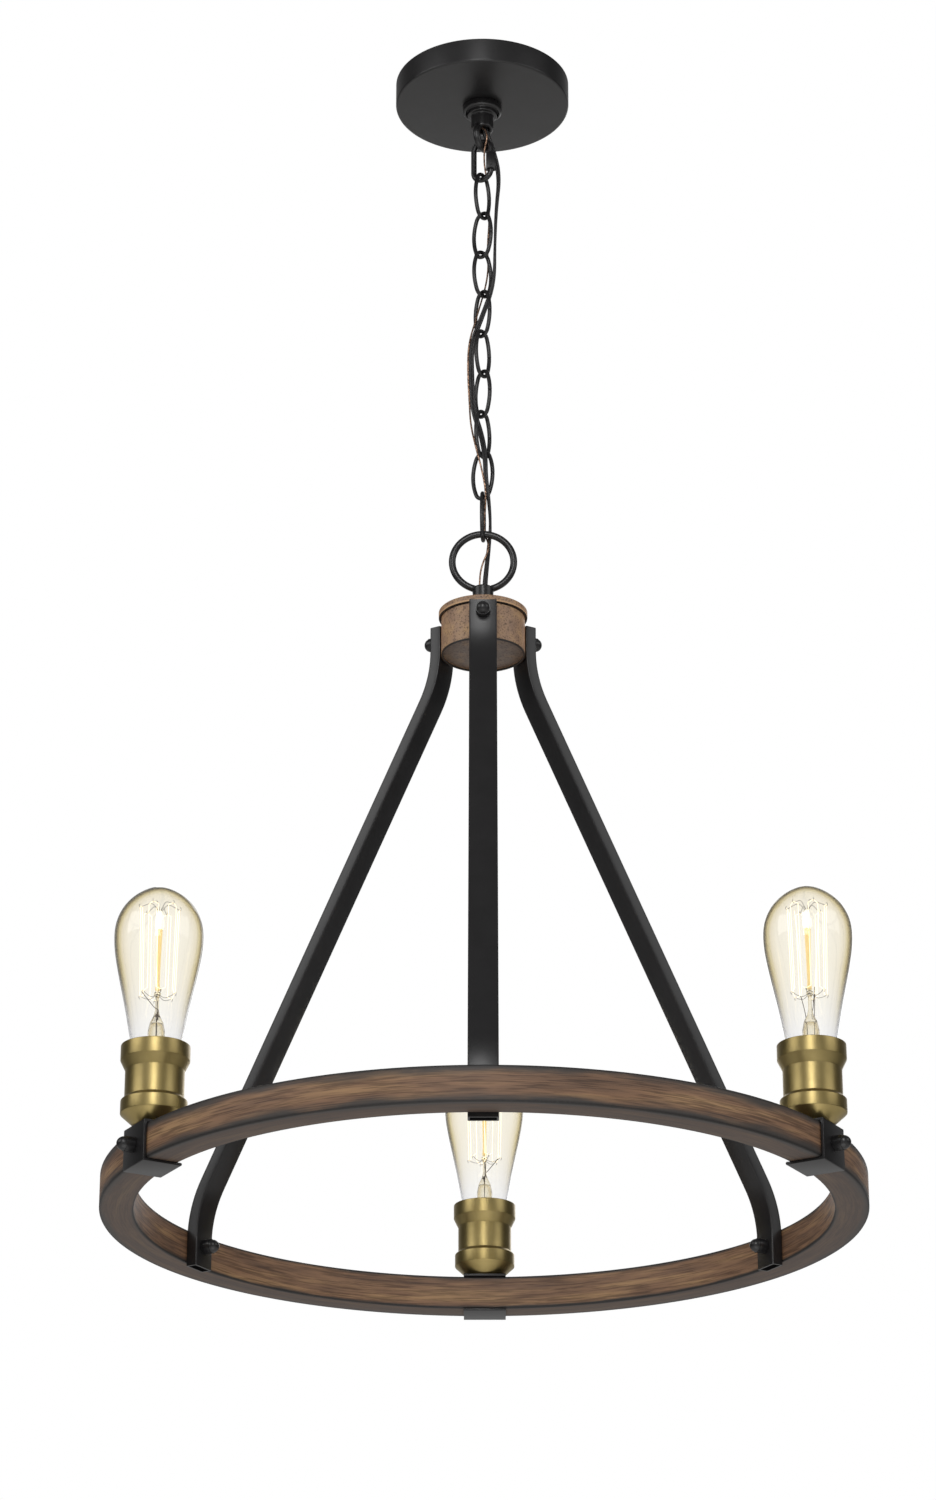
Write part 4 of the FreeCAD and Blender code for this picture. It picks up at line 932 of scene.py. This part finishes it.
def make_arm(number, turn, coat):
    """A flat rectangular tube with two easy bends, open at both ends."""
    low, high = span("arm_1")
    start = 34.05
    end = 229.5
    bend = 80.0
    slope = 28.4
    upper = -463.95
    lower = -865.92
    first = arc((start + bend, upper), bend, 180, 180 + slope, 10)
    last = arc((end - bend, lower), bend, slope, 0, 10)
    path = [(start, high.z)] + first + last + [(end, low.z)]
    wide = 19.4
    thick = 8.5
    wall = 1.3

    def tube_surface(inset, soft):
        """The tube's outer or inner surface, left open at its ends."""
        u = thick / 2 - inset
        v = wide / 2 - inset
        mesh = swept(path, rounded([(-u, -v), (u, -v), (u, v), (-u, v)], soft, 3))
        ends = [face for face in mesh.faces if len(face.verts) > 4]
        bmesh.ops.delete(mesh, geom=ends, context="FACES_ONLY")
        return mesh

    tube = tube_surface(0, 1.0)
    take_in(tube, tube_surface(wall, 0.3))
    rims = [edge for edge in tube.edges if edge.is_boundary]
    top_rims = [edge for edge in rims if edge.verts[0].co.z > high.z - 1]
    foot_rims = [edge for edge in rims if edge.verts[0].co.z < low.z + 1]
    bmesh.ops.bridge_loops(tube, edges=top_rims)
    bmesh.ops.bridge_loops(tube, edges=foot_rims)
    add_piece("arm_tube_%d" % number, tube, coat, "fixture", ["arm_%d" % number],
              standing(turn=turn))


def bolt(shank, side, dome):
    """A bolt with a tall round head and a domed top, from the foot of its shank."""
    shank_radius = 2.4
    head = 5.1
    dome_share = 0.92
    cap = [(head - 0.4, side)]
    for degrees in range(10, 90, 10):
        a = math.radians(degrees)
        cap.append((head * math.cos(a) * dome_share, side + dome * math.sin(a)))
    cap.append((0, side + dome))
    body = rounded([(shank_radius, -shank), (shank_radius, 0), (head, 0), (head, side)],
                   0.3, 2, closed=False)
    return solid_turning([(0, -shank)] + body + cap, 48)


def make_bolts(coat, zinc):
    """Bolts from the arms into the hub and the ring, and from the brackets into the ring.
    Each bolt is placed by the face that its head sits on."""
    arm_at_hub = 38.35
    nut_in_hub = 26.2
    arm_at_ring = 225.2
    bracket_side = 259.1
    for number, turn in enumerate(ARM_TURNS, start=1):
        add_piece("hub_bolt_%d" % number, bolt(16, 5.2, 4.2), coat, "fixture", ["hub_bolts"],
                  pointing(turn, arm_at_hub, HUB_BOLT_LEVEL))
        add_piece("hub_bolt_nut_%d" % number, hex_nut(4.6, 2.45, 3.2), zinc, "fixture",
                  ["hub_bolt_nuts"], pointing(turn, nut_in_hub, HUB_BOLT_LEVEL))
        add_piece("foot_bolt_%d" % number, bolt(21.5, 6.4, 5.2), coat, "fixture",
                  ["arm_foot_bolts"], pointing(turn, arm_at_ring, RING_BOLT_LEVEL, inward=True))
    for number, turn in enumerate(LAMP_TURNS, start=1):
        add_piece("side_bolt_%d" % number, bolt(15, 6.4, 5.2), coat, "fixture",
                  ["bracket_bolts"], pointing(turn, bracket_side, RING_BOLT_LEVEL))


def make_ring():
    low, high = span("ring")
    section = [(RING_OUTSIDE, low.z), (RING_OUTSIDE, high.z),
               (RING_INSIDE, high.z), (RING_INSIDE, low.z)]
    wood = burnt_edge_wood((RING_OUTSIDE + RING_INSIDE) / 2, (low.z + high.z) / 2,
                           (RING_OUTSIDE - RING_INSIDE) / 2)
    add_piece("wooden_ring", turning(rounded(section, 1.2, 4), 256), wood, "fixture", ["ring"])


def make_bracket(number, turn, coat):
    """A strap folded over the ring, with its tail under the wood."""
    node = "lamp_bracket_%d" % number
    low, high = span(node)
    tail = 231.5
    face = 257.05
    sheet = 2.0
    width = 30.5
    outline = [(tail, high.z), (face + sheet, high.z), (face + sheet, low.z), (tail, low.z),
               (tail, low.z + sheet), (face, low.z + sheet), (face, high.z - sheet),
               (tail, high.z - sheet)]
    mesh = stamped([rounded(outline, 0.8, 3)], width, 0.25)
    upright = Matrix.Rotation(math.radians(90), 4, "X")
    add_piece("bracket_strap_%d" % number, mesh, coat, "fixture", [node],
              standing(turn=turn) @ upright)


# Lamps. Heights are above the foot of the cup, and in a bulb above the tip of its contact.


def make_lampholder(number, turn, brass, moulding, bright, zinc):
    """A stepped brass cup around the holder's core with its screw shell, on a pipe stem."""
    place = around(turn, LAMP_RADIUS, CUP_FOOT)
    hole = 5.0
    wall = 1.1
    mouth = 22.6
    height = 54.4
    steps = [(12.6, 0), (21.7, 8.3), (21.7, 16.9), (19.3, 19.2), (19.3, 37.6), (mouth, 44.4),
             (mouth, height)]
    outer = rounded([(hole, 0)] + steps, 0.9, 4, closed=False)
    inner = rounded([(r - wall, z + wall / 2) for r, z in steps], 0.6, 2, closed=False)
    inner = [Vector((hole, wall)), Vector((11.8, wall))] + inner[1:-1]
    rim = rounded([outer[-2], (mouth, height), (mouth - wall, height), inner[-1]],
                  0.5, 4, closed=False)
    outline = outer[:-1] + rim[1:-1] + inner[::-1]
    add_piece("cup_%d" % number, turning(outline, 128), brass, "fixture", ["lampholder_cups"],
              place)
    core_foot = 1.15
    core_top = 46.0
    core = [(0, 14.0), (hole, 14.0), (hole, core_foot), (11.5, core_foot), (17.0, 8.0),
            (17.0, core_top), (13.8, core_top), (13.8, 22.5), (0, 22.5)]
    add_piece("holder_core_%d" % number, solid_turning(core, 64, 0.4), moulding, "fixture",
              ["lampholder_bodies"], place)
    shell = [(0, 22.55), (13.6, 22.55), (13.6, core_top), (13.35, core_top), (13.35, 22.9),
             (0, 22.9)]
    add_piece("screw_shell_%d" % number, solid_turning(shell, 64), bright, "fixture",
              ["lampholder_shells"], place)
    add_piece("lamp_stem_%d" % number, threaded_pipe(-6.0, 7.6), zinc, "fixture",
              ["lampholder_stems"], place)


# How far each bulb happens to be turned in its holder, as its leads show
BULB_SPINS = (-90, -30, -60)
# The bulb's outline from neck to crown: a straight neck, a widening side and a round dome
BULB_SIDE = (
    (12.1, 13.0),
    (12.1, 19.0),
    (12.3, 25.5),
    (14.6, 30.0),
    (16.6, 35.0),
    (18.4, 44.0),
    (20.4, 54.7),
    (22.9, 66.5),
    (25.7, 79.5),
    (28.1, 92.0),
    (29.1, 100.0),
    (29.4, 107.0),
    (28.9, 113.5),
    (27.1, 120.0),
    (23.7, 126.5),
    (18.7, 132.3),
    (12.4, 137.0),
    (6.0, 140.2),
    (2.4, 141.2),
)
GLASS_WALL = 0.7
CAP_PITCH = 3.63
CAP_WAVE = 0.35


def cap_thread(reach, level, angle):
    """The rolled thread between the foot and the collar of a bulb's cap."""
    if not 8 < level < 22 or reach <= 12:
        return 0
    turns = level / CAP_PITCH - angle / (2 * math.pi)
    return CAP_WAVE * math.cos(2 * math.pi * turns)


def make_bulb(number, turn, glass, bright, solder, mount_finishes):
    """Envelope, screw cap and contact of a bulb, with the mount inside."""
    body = "bulb_%d" % number
    contact = "bulb_contact_%d" % number
    place = around(turn, LAMP_RADIUS, BULB_TIP)
    outer = flowing(BULB_SIDE, 4)
    inner = inset_line(outer, GLASS_WALL)
    nub = [(1.7, 141.7), (1.2, 142.0), (0, 142.0)]
    outline = [(0, 140.6)] + inner[::-1] + outer + nub
    add_piece("bulb_envelope_%d" % number, solid_turning(outline, 96), glass, body,
              ["bulb_glass_%d" % number], place, crease=60)
    outside = [(9.6, 3.6), (12.6, 7.0)] + [(12.5, 7.5 + 0.5 * k) for k in range(31)]
    collar = [(12.9, 24), (12.9, 25.5)]
    inside = [(12.15, 25.5), (12.0, 7.4), (9.2, 3.6)]
    cap = turning(outside + collar + inside, 64, ripple=cap_thread)
    add_piece("bulb_cap_%d" % number, cap, bright, body, ["bulb_base_%d" % number], place)
    tip = [(0, 0), (3.6, 0), (4.6, 0.8), (9.6, 3.3), (0, 3.3)]
    add_piece("bulb_tip_%d" % number, solid_turning(tip, 40, 0.4), solder, contact, [contact],
              place)
    spin = Matrix.Rotation(math.radians(BULB_SPINS[number - 1]), 4, "Z")
    make_mount(number, body, place @ spin, *mount_finishes)


def thin_wire(name, lines, thickness, finish, body, place):
    """Round wires along lists of points, smoothed where a list has more than two."""
    curve = bpy.data.curves.new(name, "CURVE")
    curve.dimensions = "3D"
    curve.bevel_depth = thickness / 2 * MM
    curve.bevel_resolution = 1
    curve.use_fill_caps = True
    for line in lines:
        points = flowing(line, 5) if len(line) > 2 else line
        add_spline(curve, "POLY", [(place @ Vector(point)) * MM for point in points])
    attach(new_object(name, curve), finish, body, ())


def make_mount(number, body, place, stem_glass, rod_glass, ceramic, carbon, steel):
    """The glass stem with its leads, the amber rod with its bead, and the cage of filament
    strung up and down between two stars of hooks."""
    stem = [(0, 48.5), (3.6, 46.1), (4.8, 41.0), (4.8, 21.0), (10.2, 15.4), (10.8, 15.4),
            (5.6, 21.6), (5.6, 41.5), (4.4, 47.5), (2.2, 52.0), (1.2, 56.0), (1.2, 64.5),
            (2.2, 66.6), (2.2, 68.2), (0, 69.4)]
    add_piece("glass_stem_%d" % number, solid_turning(stem, 40, 0.8, 3), stem_glass, body,
              ["bulb_filament_%d" % number], place)
    rod = [(0, 69.6), (1.7, 69.6), (1.2, 75.0), (1.5, 92.0), (2.1, 112.0), (0, 112.0)]
    add_piece("amber_rod_%d" % number, solid_turning(rod, 24, 0.4), rod_glass, body, (), place)
    bead = [(0, 112.2), (2.6, 112.2), (3.1, 114.5), (3.0, 118.6), (1.8, 119.4), (2.0, 122.6),
            (1.2, 125.0), (0, 125.5)]
    add_piece("top_bead_%d" % number, solid_turning(bead, 32, 0.6, 3), ceramic, body, (), place)
    # Each star of hooks: its radius, its level, how its hooks rise, and the level of its hub
    stars = ((12.8, 125.5, 1.6, 123.5), (11.6, 68.5, -1.6, 67.4))
    legs = 12
    step = 360 / legs
    cage = []
    hooks = []
    for k in range(legs):
        cage.append([on_circle(radius, step * k, level) for radius, level, _, _ in stars])
        radius, level, rise, hub = stars[k % 2]
        between = step * (k + 0.5)
        cage.append([on_circle(radius, step * k, level),
                     on_circle(radius + 0.5, between, level + rise),
                     on_circle(radius, step * (k + 1), level)])
        # Out along the spoke, round under the filament and back up
        bent = ((5, 2.6), (10, 1.8), (radius + 0.4, 0.8), (radius + 1.3, 1.4), (radius + 0.6, 2.2))
        hooks.append([(0, 0, hub)] + [on_circle(out, between, level + up * rise) for out, up in bent])
    cage.append([(0, 3.4, 66.0), (0.4, 4.4, 80.0), (1.5, 8.0, 125.0)])
    cage.append([(1.0, -5.8, 64.0), (0.6, -5.0, 80.0), (-1.5, -8.0, 125.0)])
    thin_wire("filament_cage_%d" % number, cage, 0.32, carbon, body, place)
    thin_wire("hook_wires_%d" % number, hooks, 0.3, steel, body, place)
    leads = (
        ((0, -2.3, 36), (0, -2.6, 47), (0.6, -3.8, 55.6), (1.0, -5.8, 64.3)),
        ((0, 2.3, 36), (0, 2.6, 47), (-0.3, 2.9, 56), (0, 3.4, 66.3)),
        ((0, 1.4, 52.0), (-1.2, 1.6, 55.5), (2.0, 2.0, 58.0), (10.0, 2.6, 68.0)),
    )
    thin_wire("lead_wires_%d" % number, leads, 0.5, steel, body, place)


# Studio

FLOOR_LEVEL = -2600
# Name, place, width and height of each soft lamp, and its power in watts
STUDIO_LAMPS = (
    ("left", (-2100, -1000, 400), (1500, 1150), 12),
    ("right", (2100, -1000, 350), (1500, 1150), 8),
    ("front", (-150, -2400, 250), (600, 1400), 17),
    ("back", (300, 1900, 200), (1500, 1500), 10),
    ("low", (0, -900, -2200), (1400, 1400), 5),
)
LAMPS_AIM = Vector((0, 0, -600))


def eye_rays(tree):
    """The kinds of ray, and a value of 1 for those that the eye sees straight or through glass."""
    rays = add_node(tree, "LightPath").outputs
    seen = add_node(tree, "Math", {0: rays["Is Camera Ray"], 1: rays["Is Transmission Ray"]},
                    operation="MAXIMUM")
    return rays, seen


def make_floor():
    """Pale paint, whose look is lifted to near white while the shadow stays on it."""
    mesh = bmesh.new()
    bmesh.ops.create_grid(mesh, x_segments=1, y_segments=1, size=6.0)
    data = bpy.data.meshes.new("floor")
    mesh.to_mesh(data)
    mesh.free()
    floor = new_object("floor", data)
    floor.location.z = FLOOR_LEVEL * MM
    paint = bpy.data.materials.new("pale_floor_paint")
    paint.use_nodes = True
    tree = paint.node_tree
    _, seen = eye_rays(tree)
    lift = add_node(tree, "Math", {0: seen, 1: 0.5}, operation="MULTIPLY")
    set_inputs(tree.nodes["Principled BSDF"], {
        "Base Color": colour("#e9e8e6"), "Roughness": 0.9, "Emission Color": colour("#ffffff"),
        "Emission Strength": lift})
    data.materials.append(paint)


def make_surround():
    """White walls for the eye. Metal and gloss show them too, but dimmer towards the ceiling
    and the two sides, and they light matt surfaces softly."""
    world = bpy.data.worlds.new("studio")
    world.use_nodes = True
    bpy.context.scene.world = world
    tree = world.node_tree
    rays, seen = eye_rays(tree)
    way = add_node(tree, "TexCoord").outputs["Generated"]
    across, _, upward = add_node(tree, "SeparateXYZ", {"Vector": way}).outputs
    height = add_node(tree, "MapRange", {
        "Value": upward, "From Min": 0.25, "From Max": 0.6, "To Min": 0.45, "To Max": 0.19})
    aside = add_node(tree, "Math", {0: across}, operation="ABSOLUTE")
    breadth = add_node(tree, "MapRange", {
        "Value": aside, "From Min": 0.35, "From Max": 0.9, "To Min": 1.0, "To Max": 0.12})
    wall = add_node(tree, "Math", {0: height, 1: breadth}, operation="MULTIPLY")
    glossy = rays["Is Glossy Ray"]
    shine = add_node(tree, "Math", {0: wall, 1: glossy}, operation="MULTIPLY")
    matt = add_node(tree, "Math", {0: 1.0, 1: glossy}, operation="SUBTRACT")
    bright = add_node(tree, "Math", {0: matt, 1: 0.58, 2: shine}, operation="MULTIPLY_ADD")
    strength = add_node(tree, "Math", {0: seen, 1: bright}, operation="MAXIMUM")
    set_inputs(tree.nodes["Background"], {"Color": colour("#ffffff"), "Strength": strength})


def make_studio():
    make_floor()
    make_surround()
    for name, spot, size, power in STUDIO_LAMPS:
        light = bpy.data.lights.new(name, "AREA")
        light.shape = "RECTANGLE"
        light.size = size[0] * MM
        light.size_y = size[1] * MM
        light.energy = power
        lamp = new_object(name, light)
        lamp.visible_camera = False
        lamp.visible_transmission = False
        lamp.location = Vector(spot) * MM
        lamp.rotation_euler = (LAMPS_AIM - Vector(spot)).to_track_quat("-Z", "Y").to_euler()
    bpy.context.scene.view_settings.view_transform = "Standard"


def main():
    make_camera()
    coat = black_powder_coat()
    zinc = zinc_plated_steel()
    sheath = plain_finish("cord_sheath", "cord_sheath", "#2b2a2b", {"Roughness": 0.4})
    make_cords(sheath, stranded_copper())
    skirt = span("hub_lid")[0].z
    drum_foot = span("hub_body")[0].z
    # Each rim: its level, the height rubbed to tan, and the height of the painted black shadow at it
    paint = speckled_bronze_coat("speckled_bronze_coat", ("#866b57", "#96785e", "#ab8a62"),
                                 ((skirt, 1.3, 0.3), (drum_foot, 0.9, 1.1)))
    # The recessed plate gets the same coat in darker tones: painted shade, not a different paint.
    plate_paint_in_painted_shade = speckled_bronze_coat("bronze_coat_in_painted_shade", ("#5f544c", "#6b5c52", "#7d674f"))
    brass = brushed_antique_brass()
    bright = plain_finish("pressed_brass", "cap_brass", "#d2b46a", {
        "Metallic": 1.0, "Roughness": 0.25})
    moulding = plain_finish("black_phenolic", "phenolic", "#262525", {"Roughness": 0.35})
    solder = plain_finish("solder_and_black_glass", "cap_brass", "#a5a6a8", {
        "Metallic": 1.0, "Roughness": 0.4})
    make_ceiling_hardware(zinc)
    make_canopy(coat)
    make_canopy_loop(coat)
    make_quick_link(coat)
    for number, turn in enumerate(LINK_TURNS, start=1):
        make_link(number, turn, coat)
    make_hub_loop(coat)
    make_hub(paint, plate_paint_in_painted_shade, zinc)
    for number, turn in enumerate(ARM_TURNS, start=1):
        make_arm(number, turn, coat)
    make_bolts(coat, zinc)
    make_ring()
    amber = ((0.0, "#fdfbf4"), (0.3, "#faf6ec"), (0.46, "#f1ead8"), (0.58, "#ddd1a9"),
             (0.68, "#9c8e66"), (0.8, "#39332a"))
    glass = tinted_glass("amber_washed_bulb_glass", "amber_glass", amber, fade=(-800, -755))
    mount_finishes = (
        tinted_glass("lead_glass_stem", "filament_mount",
                     ((0.0, "#fbf8ee"), (0.5, "#d8cba8"), (0.95, "#6d5a40"))),
        # Painted glow on the amber rod and the white bead, standing in for studio light that does not
        # reach them through the glass
        painted_glow_finish("amber_glass_rod", "#e9cf8f", 0.4),
        painted_glow_finish("white_steatite", "#fbf6ea", 0.62),
        carbon_filament(),
        plain_finish("oxidised_nickel_wire", "filament_mount", "#54432f", {
            "Metallic": 1.0, "Roughness": 0.45}),
    )
    for number, turn in enumerate(LAMP_TURNS, start=1):
        make_bracket(number, turn, coat)
        make_lampholder(number, turn, brass, moulding, bright, zinc)
        make_bulb(number, turn, glass, bright, solder, mount_finishes)
    make_studio()


main()
bpy.context.view_layer.update()
